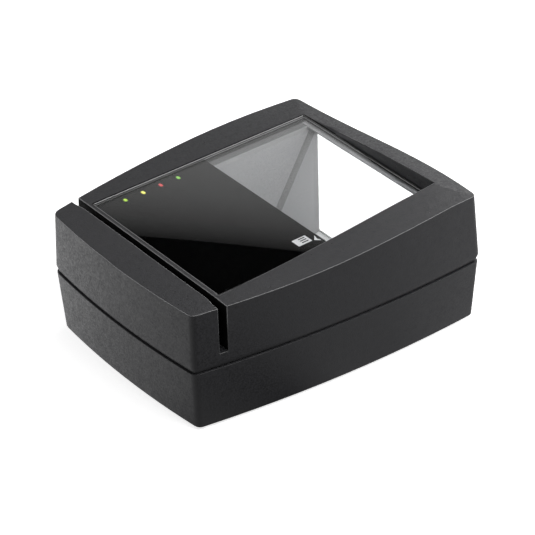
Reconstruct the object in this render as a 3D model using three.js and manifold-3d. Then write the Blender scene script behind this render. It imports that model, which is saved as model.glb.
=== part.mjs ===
// Desktop identity document reader: a charcoal case in two halves, a flat reading
// window with a raised document stop, a swipe slot along its left side, and inside
// it a camera that looks at the document page over a 46 degree fold mirror.
//
// Units are millimetres, +Z is up, the front faces -Y and the swipe slot is at -X.
// The origin is under the middle of the bounding box, on the table.

import * as THREE from "three";
import { mergeVertices } from "three/addons/utils/BufferGeometryUtils.js";
import Module from "manifold-3d";

const wasm = await Module();
wasm.setup();
const { Manifold, Mesh: SolidMesh } = wasm;

// Overall plan of the case, measured at the lip where the two halves meet
const CASE_LENGTH = 239;
const LEFT_BOW = 4.6;
const RIGHT_BOW = 3.7;
const LEFT_CORNER_HALF_DEPTH = 77.3;
const RIGHT_CORNER_HALF_DEPTH = 95.7;
const CREST_HALF_DEPTH = 96.4;
const CREST_X = 79.5;
const CORNER_RADII = { frontRight: 5, rearRight: 5, rearLeft: 8, frontLeft: 5 };
const SMALLEST_CORNER_RADIUS = 0.8;
const SIDE_SEGMENTS = 12;
const CORNER_SEGMENTS = 4;

// Heights
const FOOT_PROUD = 2;
const BASE_HEIGHT = 45;
const UPPER_HEIGHT = 45.5;
const SHADOW_GAP = 0.7;
const LIP_BEVEL_HEIGHT = 4.7;
const LIP_BEVEL_INSET = 1.7;
const EDGE_ROUND = 0.7;
const EDGE_ROUND_STEPS = 3;

// How far each outer wall leans in from the lip
const TOP_LEAN = { left: 0.3, right: 5.5, front: 1.6, rear: 1.6 };
const BASE_TOP_LEAN = { left: 0.3, right: 0.3, front: 0.3, rear: 0.3 };
const BASE_FLOOR_LEAN = { left: 3.6, right: 2.0, front: 1.8, rear: 4 };
const NO_LEAN = { left: 0, right: 0, front: 0, rear: 0 };

// Top surface: it rises from the left end to the front right corner as a document
// stop, and falls away outwards
const SURROUND_STEP = 0.4;
const STOP_RISE = 11;
const STOP_REAR_START = 80;
const STOP_FRONT_FULL = 85;
const LEFT_FALL = 0.7;
const FRONT_FALL = 2.3;
const REAR_FALL = 2.8;
const RIGHT_FALL = 3.8;
const CORNER_FALL_RUN = 27;
const TOP_RINGS = 5;
const STOP_BEVEL_RUN = 4;
const STOP_BEVEL_FOOT = 0.15;
const STOP_BEVEL_STATIONS = 12;

// Walls, clearances and the overrun of every cut
const WALL = 3;
const TOP_WALL = 3;
const FLOOR = 3;
const OVERRUN = 1;
const WELD_TOLERANCE = 1e-4;
const PART_GAP = 0.3;
const SEAT_GAP = 0.06;
const SCREW_GAP = 0.25;
const TONGUE_WALL = 1.4;
const TONGUE_HEIGHT = 3;
const TONGUE_ROOT = 5;

// Reading window: glass, printed mask below it and the gasket that seats it
const SLOT_TO_WINDOW = 3;
const RIGHT_RIM = 23.7;
const GLASS_DEPTH = 135.6;
const GLASS_THICKNESS = 4;
const GLASS_CORNER_RADIUS = 1.2;
const RECESS_CLEARANCE = 0.4;
const MASK_THICKNESS = 0.3;
const MASK_MARGIN = 0.4;
const PAGE_LENGTH = 125;
const PAGE_WIDTH = 88;
const PAGE_CLEARANCE = 1.1;
const MASK_FRONT_BAND = 3.8;
const GASKET_THICKNESS = 1;
const GASKET_BAND = 3.6;
const GASKET_RIGHT_BAND = 5.3;
const GASKET_LIP = 1.2;
const LIP_FIT = 0.2;
const GASKET_CORNER_RADIUS = 0.4;
const DECK_THICKNESS = 2.8;
const RECESS_WALL = 3.6;
const DECK_RIGHT_LEDGE = 2.6;

// Swipe slot
const LEFT_STRIP_WIDTH = 24.5;
const SLOT_WIDTH = 4.6;
const SLOT_DEPTH = 34.5;
const SLOT_WALL = 2.2;
const SLOT_FLOOR = 2.4;
const SLOT_MOUTH_WIDENING = 1.5;
const SLOT_MOUTH_RUN = 13;
const SLOT_MOUTH_STEPS = 5;
const WEAR_STRIP_THICKNESS = 0.6;
const WEAR_STRIP_LENGTH = 138;

// Magnetic read head on its sprung arm, inside the strip left of the slot
const HEAD_LENGTH = 14;
const HEAD_HEIGHT = 11;
const HEAD_BODY_DEPTH = 6.2;
const HEAD_CROWN = 1.2;
const HEAD_PROUD = 0.9;
const HEAD_ABOVE_SLOT_FLOOR = 10.7;
const HEAD_WINDOW_CLEARANCE = 1.2;
const CROWN_SEGMENTS = 6;
const ARM_PLATE = 1.6;
const ARM_HEIGHT = 9;
const ARM_TAB = 4;
const ARM_OVERHANG = 6;
const ARM_STOP_LENGTH = 3.5;
const ARM_STOP_HEIGHT = 5;
const PIVOT_Y = 25;
const PIN_RADIUS = 1.1;
const HUB_RADIUS = 2.5;
const PIVOT_FIT = 0.2;
const BRACKET_PLATE = 1.6;
const BRACKET_LENGTH = 16;
const BRACKET_EAR = 2;
const BRACKET_EAR_WIDTH = 7;
const SPRING_WIRE_RADIUS = 0.35;
const SPRING_COIL_RADIUS = 1.8;
const SPRING_TURNS = 3;
const SPRING_PITCH = 1.1;
const SPRING_LEG = 9;
const SPRING_TRAVEL = 0.45;
const SPRING_SEGMENTS_PER_TURN = 10;
const SPRING_SIDES = 5;

// Four status lights behind the rear left of the mask
const LIGHT_COUNT = 4;
const LIGHT_PITCH_SHARE = 0.157;
const LIGHT_FIRST_SHARE = 0.232;
const LIGHT_SETBACK = 7.2;
const LIGHT_LENGTH = 4;
const LIGHT_WIDTH = 2.5;
const LIGHT_FIT = 0.2;
const LIGHT_COLOURS = [0x9fd41e, 0xf2dc2a, 0xd81f26, 0x35b53a];
const STATUS_BOARD_OVERHANG = 9;
const STATUS_BOARD_DEPTH = 8;
const BOARD_THICKNESS = 1.6;
const STATUS_POST_HEIGHT = 2.4;
const LED_CHIP = 1.6;
const LED_CHIP_HEIGHT = 0.8;

// Antenna board in a pocket of the deck, below the printed mask
const ANTENNA_SIDE_MARGIN = 11.6;
const ANTENNA_FRONT_MARGIN = 12.8;
const ANTENNA_REAR_MARGIN = 24.8;
const ANTENNA_BAND = 14;
const ANTENNA_THICKNESS = 1;
const ANTENNA_SINK = 0.25;

// Optics chamber and its fold mirror
const CHAMBER_WALL = 2;
const CHAMBER_LEFT_MARGIN = 1.2;
const CHAMBER_FRONT_MARGIN = 2;
const CHAMBER_REAR_MARGIN = 5.4;
const CHAMBER_TAPER = 0.31;
const CHAMBER_FLOOR_GAP = 4;
const FLANGE_THICKNESS = 2;
const FLANGE_SCREW_INSET = 12;
const MIRROR_TOP_SETBACK = 0.1;
const MIRROR_ANGLE = 46;
const MIRROR_THICKNESS = 2;
const MIRROR_SIDE_GAP = 0.5;
const MIRROR_FLOOR_GAP = 1.5;
const APERTURE_WIDTH = 50;
const APERTURE_BELOW_AXIS = 24;
const APERTURE_ABOVE_AXIS = 22;

// Illumination bars inside the chamber, beside the camera aperture
const BAR_WIDTH = 8;
const BAR_HEIGHT = 44;
const BAR_LED_COUNT = 5;
const BAR_LED_SIZE = 3;
const BAR_LED_HEIGHT = 1.2;
const BAR_MARGIN = 3;

// Camera unit
const CAMERA_SETBACK = 15.4;
const CAMERA_DROP = 34.2;
const CAMERA_BOARD_SIZE = 38;
const LENS_HOLDER_SIZE = 20;
const LENS_HOLDER_DEPTH = 7;
const BARREL_RADIUS = 8;
const BARREL_LENGTH = 15;
const BARREL_BORE_RADIUS = 6;
const BARREL_LIP = 1.5;
const LENS_RADIUS = 5.7;
const LENS_EDGE = 1.2;
const LENS_BULGE = 1.3;
const LENS_SETBACK = 1.5;
const ROUND_SEGMENTS = 24;
const BRACKET_SHEET = 2;
const BRACKET_WIDTH = 46;
const BRACKET_FOOT = 14;
const BRACKET_MARGIN = 3;
const CAMERA_POST_RADIUS = 2.5;
const CAMERA_POST_LENGTH = 3;
const CAMERA_POST_INSET = 4;
const SENSOR_SIZE = 9;
const SENSOR_HEIGHT = 1.4;

// Main board with its two inlets in the rear wall
const MAIN_LENGTH_SHARE = 0.61;
const MAIN_CHAMBER_GAP = 7.5;
const MAIN_FRONT_MARGIN = 12;
const MAIN_REAR_GAP = 1;
const MAIN_BOARD_POST = 5;
const MAIN_POST_INSET = 5;
const POST_RADIUS = 3.4;
const USB_PLACE_SHARE = 0.28;
const USB_WIDTH = 12;
const USB_HEIGHT = 11;
const USB_DEPTH = 16;
const USB_MOUTH_WIDTH = 8.6;
const USB_MOUTH_HEIGHT = 7.8;
const USB_MOUTH_DEPTH = 11;
const USB_TONGUE_WIDTH = 5.6;
const USB_TONGUE_HEIGHT = 3;
const USB_CHAMFER = 1.6;
const JACK_PLACE_SHARE = 0.7;
const JACK_WIDTH = 9;
const JACK_HEIGHT = 11;
const JACK_DEPTH = 14;
const JACK_BORE_RADIUS = 3;
const JACK_PIN_RADIUS = 1;
const JACK_MOUTH_DEPTH = 9.5;
const INLET_RECESS = 0.8;
const INLET_FIT = 0.4;
const CHIP_SIZE = 17;
const CHIP_HEIGHT = 1.6;
const CHIP_Y = -5;

// Screws and feet
const CASE_SCREW_RADIUS = 1.5;
const CASE_SCREW_HEAD_RADIUS = 2.9;
const CASE_SCREW_HEAD = 2.2;
const CASE_SCREW_LENGTH = 26;
const CASE_SCREW_GRIP = 17.6;
const CASE_BOSS_RADIUS = 4.6;
const CASE_BOSS_GAP = 0.4;
const SMALL_SCREW_RADIUS = 1.1;
const SMALL_SCREW_HEAD_RADIUS = 2.1;
const SMALL_SCREW_HEAD = 1.3;
const SMALL_SCREW_GRIP = 2.2;
const SCREW_SOCKET_SHARE = 0.5;
const SCREW_SOCKET_DEPTH_SHARE = 0.6;
const SCREW_SOCKET_SIDES = 6;
const SCREW_SEGMENTS = 12;
const LEFT_SCREW_SETBACK = { x: 12.5, y: 17.3 };
const RIGHT_SCREW_SETBACK = { x: 29.5, y: 14.4 };
const FOOT_RADIUS = 8;
const FOOT_SINK = 1.4;
const FOOT_ROUND = 0.8;
const FOOT_FIT = 0.25;
const LEFT_FOOT_SETBACK = { x: 22.5, y: 31.3 };
const RIGHT_FOOT_SETBACK = { x: 20.5, y: 34.4 };

// Heights that follow from the sizes above
const BASE_BOTTOM_Z = FOOT_PROUD;
const FLOOR_Z = BASE_BOTTOM_Z + FLOOR;
const BASE_TOP_Z = BASE_BOTTOM_Z + BASE_HEIGHT - SHADOW_GAP / 2;
const UPPER_BOTTOM_Z = BASE_BOTTOM_Z + BASE_HEIGHT + SHADOW_GAP / 2;
const LIP_Z = UPPER_BOTTOM_Z + LIP_BEVEL_HEIGHT;
const GLASS_TOP_Z = BASE_BOTTOM_Z + BASE_HEIGHT + UPPER_HEIGHT;
const GLASS_BOTTOM_Z = GLASS_TOP_Z - GLASS_THICKNESS;
const MASK_TOP_Z = GLASS_BOTTOM_Z - SEAT_GAP;
const MASK_BOTTOM_Z = MASK_TOP_Z - MASK_THICKNESS;
const GASKET_TOP_Z = MASK_BOTTOM_Z - SEAT_GAP;
const DECK_TOP_Z = GASKET_TOP_Z - GASKET_THICKNESS - SEAT_GAP;
const DECK_BOTTOM_Z = DECK_TOP_Z - DECK_THICKNESS;
const CHAMBER_TOP_Z = DECK_BOTTOM_Z - SEAT_GAP;
const CHAMBER_BOTTOM = FLOOR_Z + CHAMBER_FLOOR_GAP;
const MIRROR_TOP_Z = CHAMBER_TOP_Z - PART_GAP;
const MIRROR_LOW_Z = CHAMBER_BOTTOM + CHAMBER_WALL + MIRROR_FLOOR_GAP;
const CAMERA_Z = DECK_BOTTOM_Z - CAMERA_DROP;
const APERTURE_LOW_Z = CAMERA_Z - APERTURE_BELOW_AXIS;
const APERTURE_HIGH_Z = CAMERA_Z + APERTURE_ABOVE_AXIS;
const SLOT_BOTTOM_Z = GLASS_TOP_Z - SLOT_DEPTH;
const MAIN_BOARD_Z = FLOOR_Z + MAIN_BOARD_POST + SEAT_GAP;
const BOARD_TOP_Z = MAIN_BOARD_Z + BOARD_THICKNESS;
const STATUS_BOARD_TOP_Z = DECK_BOTTOM_Z - STATUS_POST_HEIGHT - SEAT_GAP;
const CASE_SCREW_HEAD_Z = BASE_TOP_Z - CASE_SCREW_GRIP;

// Places along the case that follow from the sizes above
const SLOT_LEFT_X = -CASE_LENGTH / 2 + LEFT_STRIP_WIDTH;
const SLOT_RIGHT_X = SLOT_LEFT_X + SLOT_WIDTH;
const SLOT_X = (SLOT_LEFT_X + SLOT_RIGHT_X) / 2;
const WINDOW_LEFT = SLOT_RIGHT_X + SLOT_TO_WINDOW;
const WINDOW_RIGHT = CASE_LENGTH / 2 - RIGHT_RIM;
const WINDOW_X = (WINDOW_LEFT + WINDOW_RIGHT) / 2;
const GLASS_LENGTH = WINDOW_RIGHT - WINDOW_LEFT;
const WINDOW_REAR = GLASS_DEPTH / 2;
const PAGE_LEFT = WINDOW_RIGHT - PAGE_WIDTH - PAGE_CLEARANCE;
const PAGE_FRONT = -WINDOW_REAR + MASK_FRONT_BAND;
const PAGE_REAR = PAGE_FRONT + PAGE_LENGTH + 2 * PAGE_CLEARANCE;
const PRINT_LENGTH = PAGE_LEFT - WINDOW_LEFT;
const LIGHT_PITCH = PRINT_LENGTH * LIGHT_PITCH_SHARE;
const LIGHT_FIRST_X = WINDOW_LEFT + PRINT_LENGTH * LIGHT_FIRST_SHARE;
const LIGHT_Y = WINDOW_REAR - LIGHT_SETBACK;
const CHAMBER_LEFT = PAGE_LEFT - CHAMBER_LEFT_MARGIN;
const CHAMBER_FRONT = PAGE_FRONT + CHAMBER_FRONT_MARGIN;
const CHAMBER_REAR = PAGE_REAR - CHAMBER_REAR_MARGIN;
const MIRROR_TOP_X = WINDOW_RIGHT - MIRROR_TOP_SETBACK;
const CAMERA_X = WINDOW_LEFT + CAMERA_SETBACK;
const MAIN_RIGHT = CHAMBER_LEFT - CHAMBER_WALL - MAIN_CHAMBER_GAP;
const MAIN_LENGTH = PRINT_LENGTH * MAIN_LENGTH_SHARE;
const MAIN_LEFT = MAIN_RIGHT - MAIN_LENGTH;
const MAIN_FRONT = PAGE_FRONT + MAIN_FRONT_MARGIN;
const MAIN_REAR = rearFaceY(MAIN_LEFT) - WALL - MAIN_REAR_GAP;
const USB_X = MAIN_RIGHT - MAIN_LENGTH * USB_PLACE_SHARE;
const JACK_X = MAIN_RIGHT - MAIN_LENGTH * JACK_PLACE_SHARE;

// The read head's arm, pivot and spring
const STRIP_WALL_X = SLOT_LEFT_X - SLOT_WALL - SLOT_MOUTH_WIDENING;
const HEAD_Z = SLOT_BOTTOM_Z + HEAD_ABOVE_SLOT_FLOOR;
const HEAD_FACE_X = SLOT_LEFT_X + HEAD_PROUD;
const HEAD_BACK_X = HEAD_FACE_X - HEAD_CROWN - HEAD_BODY_DEPTH;
const ARM_BACK_X = HEAD_BACK_X - SEAT_GAP - ARM_PLATE;
const ARM_END_Y = -HEAD_LENGTH / 2 - ARM_OVERHANG;
const ARM_LOW_Z = HEAD_Z - ARM_HEIGHT / 2;
const ARM_HIGH_Z = HEAD_Z + ARM_HEIGHT / 2;
const PIVOT_X = ARM_BACK_X - SEAT_GAP + SPRING_COIL_RADIUS - SPRING_WIRE_RADIUS;
const SPRING_LOW_Z = ARM_HIGH_Z + PART_GAP + SPRING_WIRE_RADIUS;
const SPRING_HIGH_Z = SPRING_LOW_Z + SPRING_PITCH * SPRING_TURNS;
const EAR_LOW_Z = ARM_LOW_Z - PART_GAP - BRACKET_EAR;
const EAR_HIGH_Z = SPRING_HIGH_Z + SPRING_WIRE_RADIUS + PART_GAP;

// A closed manifold solid from a geometry, and the way back
function toSolid(geometry) {
  const bare = new THREE.BufferGeometry();
  bare.setAttribute("position", geometry.getAttribute("position"));
  if (geometry.index) bare.setIndex(geometry.index);
  const merged = mergeVertices(bare, WELD_TOLERANCE);
  return new Manifold(
    new SolidMesh({
      numProp: 3,
      vertProperties: Float32Array.from(merged.attributes.position.array),
      triVerts: Uint32Array.from(merged.index.array),
    }),
  );
}

function toGeometry(solid) {
  const mesh = solid.getMesh();
  const geometry = new THREE.BufferGeometry();
  geometry.setAttribute("position", new THREE.BufferAttribute(mesh.vertProperties, mesh.numProp));
  geometry.setIndex(new THREE.BufferAttribute(mesh.triVerts, 1));
  const flat = geometry.toNonIndexed();
  flat.computeVertexNormals();
  return flat;
}

function cut(solid, ...tools) {
  return tools.reduce((rest, tool) => rest.subtract(tool), solid);
}

function join(first, ...others) {
  return others.reduce((sum, other) => sum.add(other), first);
}

// A box given by its low and high corners
function box(low, high) {
  const size = high.map((value, axis) => value - low[axis]);
  const geometry = new THREE.BoxGeometry(...size);
  geometry.translate(...high.map((value, axis) => (value + low[axis]) / 2));
  return toSolid(geometry);
}

// An upright cylinder, or one lying along X or Y
function cylinder(radius, from, to, segments = SCREW_SEGMENTS) {
  const start = new THREE.Vector3(...from);
  const end = new THREE.Vector3(...to);
  const geometry = new THREE.CylinderGeometry(radius, radius, start.distanceTo(end), segments);
  const direction = end.clone().sub(start).normalize();
  const turn = new THREE.Quaternion().setFromUnitVectors(new THREE.Vector3(0, 1, 0), direction);
  geometry.applyQuaternion(turn);
  geometry.translate(...start.add(end).multiplyScalar(1 / 2).toArray());
  return toSolid(geometry);
}

// A profile in the X-Z plane, extruded along Y
function extrudeAlongY(profile, fromY, toY) {
  const shape = new THREE.Shape(profile.map(([x, z]) => new THREE.Vector2(x, z)));
  const geometry = new THREE.ExtrudeGeometry(shape, { depth: toY - fromY, bevelEnabled: false });
  geometry.rotateX(Math.PI / 2);
  geometry.translate(0, toY, 0);
  return toSolid(geometry);
}

// A profile in the X-Y plane, extruded upwards
function extrudeUp(profile, fromZ, toZ) {
  const shape = new THREE.Shape(profile.map(([x, y]) => new THREE.Vector2(x, y)));
  const geometry = new THREE.ExtrudeGeometry(shape, { depth: toZ - fromZ, bevelEnabled: false });
  geometry.translate(0, 0, fromZ);
  return toSolid(geometry);
}

// A solid skinned over a stack of equal loops, closed at both ends by fans
function loft(loops) {
  const count = loops[0].length;
  const points = loops.flat();
  const bottomCentre = points.push(middle(loops[0])) - 1;
  const topCentre = points.push(middle(loops[loops.length - 1])) - 1;
  const faces = [];
  for (let i = 0; i < count; i += 1) {
    const next = (i + 1) % count;
    const top = (loops.length - 1) * count;
    faces.push(bottomCentre, next, i);
    faces.push(topCentre, top + i, top + next);
    for (let k = 0; k + 1 < loops.length; k += 1) {
      const low = k * count;
      const high = low + count;
      faces.push(low + i, low + next, high + next);
      faces.push(low + i, high + next, high + i);
    }
  }
  const geometry = new THREE.BufferGeometry();
  geometry.setAttribute("position", new THREE.Float32BufferAttribute(points.flat(), 3));
  geometry.setIndex(faces);
  return toSolid(geometry);
}

function middle(loop) {
  return [0, 1, 2].map((axis) => loop.reduce((sum, point) => sum + point[axis], 0) / loop.length);
}

function smooth(share) {
  const t = Math.min(Math.max(share, 0), 1);
  return t * t * (3 - 2 * t);
}

// The four bowed sides of the case as circles
function caseSides(lean) {
  const leftX = -CASE_LENGTH / 2 + LEFT_BOW;
  const run = CREST_X - leftX;
  const rise = CREST_HALF_DEPTH - LEFT_CORNER_HALF_DEPTH;
  const endRadius = (run * run + rise * rise) / (2 * rise);
  const leftRadius = (LEFT_CORNER_HALF_DEPTH ** 2 + LEFT_BOW ** 2) / (2 * LEFT_BOW);
  const rightRadius = (RIGHT_CORNER_HALF_DEPTH ** 2 + RIGHT_BOW ** 2) / (2 * RIGHT_BOW);
  return {
    front: { x: CREST_X, y: endRadius - CREST_HALF_DEPTH, r: endRadius - lean.front },
    right: { x: CASE_LENGTH / 2 - rightRadius, y: 0, r: rightRadius - lean.right },
    rear: { x: CREST_X, y: CREST_HALF_DEPTH - endRadius, r: endRadius - lean.rear },
    left: { x: leftRadius - CASE_LENGTH / 2, y: 0, r: leftRadius - lean.left },
  };
}

// The centre of the corner round between two sides, in the corner's own quadrant
function cornerCentre(a, b, radius, signX, signY) {
  const ra = a.r - radius;
  const rb = b.r - radius;
  const dx = b.x - a.x;
  const dy = b.y - a.y;
  const distance = Math.hypot(dx, dy);
  const along = (ra * ra - rb * rb + distance * distance) / (2 * distance);
  const across = Math.sqrt(ra * ra - along * along);
  const choices = [1, -1].map((side) => [
    a.x + (dx * along - side * dy * across) / distance,
    a.y + (dy * along + side * dx * across) / distance,
  ]);
  return choices.find(([x, y]) => x * signX > 0 && y * signY > 0);
}

// Points along an arc about a centre, from one point towards another, the last one left out
function arcPoints(centre, from, to, segments) {
  const start = Math.atan2(from[1] - centre[1], from[0] - centre[0]);
  let sweep = Math.atan2(to[1] - centre[1], to[0] - centre[0]) - start;
  if (sweep < 0) sweep += 2 * Math.PI;
  const radius = Math.hypot(from[0] - centre[0], from[1] - centre[1]);
  return Array.from({ length: segments }, (_, i) => {
    const angle = start + (sweep * i) / segments;
    return [centre[0] + radius * Math.cos(angle), centre[1] + radius * Math.sin(angle)];
  });
}

function touchPoint(side, centre) {
  const distance = Math.hypot(centre[0] - side.x, centre[1] - side.y);
  return [
    side.x + ((centre[0] - side.x) * side.r) / distance,
    side.y + ((centre[1] - side.y) * side.r) / distance,
  ];
}

// The plan of the case, leaned in per side: points run anticlockwise from the front left
function casePlan(lean, inset = 0) {
  const deeper = Object.fromEntries(Object.entries(lean).map(([side, value]) => [side, value + inset]));
  const { front, right, rear, left } = caseSides(deeper);
  const radius = (corner) => Math.max(CORNER_RADII[corner] - inset, SMALLEST_CORNER_RADIUS);
  const corners = [
    cornerCentre(front, right, radius("frontRight"), 1, -1),
    cornerCentre(right, rear, radius("rearRight"), 1, 1),
    cornerCentre(rear, left, radius("rearLeft"), -1, 1),
    cornerCentre(left, front, radius("frontLeft"), -1, -1),
  ];
  const order = [front, right, rear, left];
  return order.flatMap((side, i) => {
    const before = corners[(i + order.length - 1) % order.length];
    const after = corners[i];
    const following = order[(i + 1) % order.length];
    const start = touchPoint(side, before);
    const end = touchPoint(side, after);
    const turned = touchPoint(following, after);
    return [
      ...arcPoints([side.x, side.y], start, end, SIDE_SEGMENTS),
      ...arcPoints(after, end, turned, CORNER_SEGMENTS),
    ];
  });
}

// A rounded rectangle with the same point count and order as the case plan
function rectanglePlan(low, high, radius, sideSegments = 1, cornerSegments = CORNER_SEGMENTS) {
  const corners = [
    [high[0] - radius, low[1] + radius],
    [high[0] - radius, high[1] - radius],
    [low[0] + radius, high[1] - radius],
    [low[0] + radius, low[1] + radius],
  ];
  return corners.flatMap((corner, i) => {
    const before = corners[(i + corners.length - 1) % corners.length];
    const turn = (Math.PI / 2) * (i - 1);
    const offset = [radius * Math.cos(turn), radius * Math.sin(turn)];
    const along = Array.from({ length: sideSegments }, (_, k) =>
      [0, 1].map((axis) => before[axis] + offset[axis] + ((corner[axis] - before[axis]) * k) / sideSegments),
    );
    const round = Array.from({ length: cornerSegments }, (_, k) => {
      const angle = turn + ((Math.PI / 2) * k) / cornerSegments;
      return [corner[0] + radius * Math.cos(angle), corner[1] + radius * Math.sin(angle)];
    });
    return [...along, ...round];
  });
}

const atHeight = (plan, z) => plan.map(([x, y]) => [x, y, z]);

const windowPlan = (grow, sideSegments = 1) =>
  rectanglePlan(
    [WINDOW_LEFT - grow, -WINDOW_REAR - grow],
    [WINDOW_RIGHT + grow, WINDOW_REAR + grow],
    GLASS_CORNER_RADIUS,
    sideSegments,
  );

// Height of the surround beside the window: the document stop's ramp and its S-curve
function stopHeight(x, y) {
  const t = Math.min(Math.max((x - WINDOW_X) / GLASS_LENGTH + 1 / 2, 0), 1);
  const ramp = 2 * t * t - t * t * t;
  const turn = smooth((STOP_REAR_START - y) / (STOP_REAR_START + STOP_FRONT_FULL));
  return GLASS_TOP_Z + SURROUND_STEP + STOP_RISE * ramp * turn;
}

// How far the surround falls from the window to the outer edge
function outwardFall(x, y) {
  const corner = smooth((x - CASE_LENGTH / 2 + CORNER_FALL_RUN) / CORNER_FALL_RUN);
  const sideways = Math.max((x - WINDOW_X) / (GLASS_LENGTH / 2), 0);
  const front = LEFT_FALL + (FRONT_FALL - LEFT_FALL) * smooth((x - WINDOW_X) / (GLASS_LENGTH / 2) + 1);
  const rear = REAR_FALL * Math.min(sideways * sideways, 1);
  const end = y < 0 ? front : rear;
  return end + (RIGHT_FALL - end) * corner;
}

// The top surface between the outline and the window, as rings from outside in
function topRings(inset, drop) {
  const outer = casePlan(TOP_LEAN, inset + EDGE_ROUND);
  const inner = windowPlan(-WALL, SIDE_SEGMENTS);
  const rings = Array.from({ length: TOP_RINGS }, (_, k) => {
    const t = k / (TOP_RINGS - 1);
    return outer.map((point, i) => {
      const x = point[0] + (inner[i][0] - point[0]) * t;
      const y = point[1] + (inner[i][1] - point[1]) * t;
      return [x, y, stopHeight(x, y) - outwardFall(x, y) * (1 - t) - drop];
    });
  });
  return rings;
}

// The case's upper half as a filled block, optionally shrunk for its cavity
function upperBlock(inset, drop, bottomZ, bevelled) {
  const crown = topRings(inset, drop);
  const edge = crown[0];
  const rounds = Array.from({ length: EDGE_ROUND_STEPS }, (_, k) => {
    const angle = ((Math.PI / 2) * k) / EDGE_ROUND_STEPS;
    const plan = casePlan(TOP_LEAN, inset + EDGE_ROUND * (1 - Math.cos(angle)));
    return plan.map(([x, y], i) => [x, y, edge[i][2] - EDGE_ROUND * (1 - Math.sin(angle))]);
  });
  const bottomInset = bevelled ? LIP_BEVEL_INSET : inset;
  const skirt = [
    atHeight(casePlan(NO_LEAN, bottomInset), bottomZ),
    atHeight(casePlan(NO_LEAN, inset), LIP_Z),
  ];
  return loft([...skirt, ...rounds, ...crown]);
}

// The slot with its rounded lead-in at both mouths, on the strip's side only
function slotCutter(fromZ) {
  const reach = CREST_HALF_DEPTH + OVERRUN;
  const plan = [[SLOT_RIGHT_X, -reach], [SLOT_RIGHT_X, reach]];
  const lead = (sign) =>
    Array.from({ length: SLOT_MOUTH_STEPS + 1 }, (_, k) => {
      const t = k / SLOT_MOUTH_STEPS;
      const mouthY = LEFT_CORNER_HALF_DEPTH;
      return [SLOT_LEFT_X - SLOT_MOUTH_WIDENING * (1 - smooth(t)), sign * (mouthY - SLOT_MOUTH_RUN * t)];
    });
  const left = [[SLOT_LEFT_X - SLOT_MOUTH_WIDENING, reach], ...lead(1), ...lead(-1).reverse()];
  left.push([SLOT_LEFT_X - SLOT_MOUTH_WIDENING, -reach]);
  return extrudeUp([...plan, ...left], fromZ, GLASS_TOP_Z + STOP_RISE);
}

// Slanted run-out of the stop's right inner wall: a shallow bevel at the rear that
// turns into an upright wall at the front
function stopBevelCutter() {
  const span = GLASS_DEPTH + RECESS_CLEARANCE * 2;
  const loops = Array.from({ length: STOP_BEVEL_STATIONS + 1 }, (_, k) => {
    const t = k / STOP_BEVEL_STATIONS;
    const y = span * (t - 1 / 2);
    const foot = GLASS_TOP_Z + STOP_BEVEL_FOOT;
    const edgeX = WINDOW_RIGHT + RECESS_CLEARANCE;
    const rise = stopHeight(WINDOW_RIGHT, y) - foot;
    const run = STOP_BEVEL_RUN * smooth(t);
    return [
      [edgeX - OVERRUN, y, foot],
      [edgeX, y, foot],
      [edgeX + 2 * run, y, foot + 2 * rise],
      [edgeX - OVERRUN, y, foot + 2 * rise],
    ].reverse();
  });
  return loft(loops);
}

function ring(plan, hole, fromZ, toZ) {
  return cut(extrudeUp(plan, fromZ, toZ), extrudeUp(hole, fromZ - OVERRUN, toZ + OVERRUN));
}

const deckOpening = rectanglePlan(
  [CHAMBER_LEFT - GASKET_LIP, CHAMBER_FRONT - GASKET_LIP],
  [WINDOW_RIGHT - DECK_RIGHT_LEDGE, CHAMBER_REAR + GASKET_LIP],
  GLASS_CORNER_RADIUS,
);

const lightX = (i) => LIGHT_FIRST_X + LIGHT_PITCH * i;
const lights = Array.from({ length: LIGHT_COUNT }, (_, i) => i);

// An oblong with round ends that runs front to back
function oblong(x, y, grow, fromZ, toZ) {
  const half = [LIGHT_WIDTH / 2 + grow, LIGHT_LENGTH / 2 + grow];
  const plan = rectanglePlan([x - half[0], y - half[1]], [x + half[0], y + half[1]], half[0]);
  return extrudeUp(plan, fromZ, toZ);
}

// The four places that a corner-fixed piece repeats at
function cornerPlaces(left, right) {
  const leftPlace = [left.x - CASE_LENGTH / 2, LEFT_CORNER_HALF_DEPTH - left.y];
  const rightPlace = [CASE_LENGTH / 2 - right.x, CREST_HALF_DEPTH - right.y];
  return [
    [leftPlace[0], -leftPlace[1]],
    [rightPlace[0], -rightPlace[1]],
    rightPlace,
    leftPlace,
  ];
}

const screwPlaces = cornerPlaces(LEFT_SCREW_SETBACK, RIGHT_SCREW_SETBACK);
const footPlaces = cornerPlaces(LEFT_FOOT_SETBACK, RIGHT_FOOT_SETBACK);
const statusPosts = [
  [lightX(0) - LIGHT_PITCH / 2, LIGHT_Y],
  [lightX(LIGHT_COUNT - 1) + LIGHT_PITCH / 2, LIGHT_Y],
];
const flangeScrewReach = CHAMBER_WALL + SMALL_SCREW_HEAD_RADIUS + PART_GAP;
const flangeScrewPlaces = [
  [CHAMBER_LEFT + FLANGE_SCREW_INSET, CHAMBER_FRONT - flangeScrewReach],
  [MIRROR_TOP_X - FLANGE_SCREW_INSET, CHAMBER_FRONT - flangeScrewReach],
  [MIRROR_TOP_X - FLANGE_SCREW_INSET, CHAMBER_REAR + flangeScrewReach],
  [CHAMBER_LEFT + FLANGE_SCREW_INSET, CHAMBER_REAR + flangeScrewReach],
];
const bracketScrewPlaces = [-1, 1].map((side) => [
  CAMERA_X - BRACKET_FOOT / 2,
  (side * BRACKET_WIDTH) / 2 - side * MAIN_POST_INSET,
]);
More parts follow.
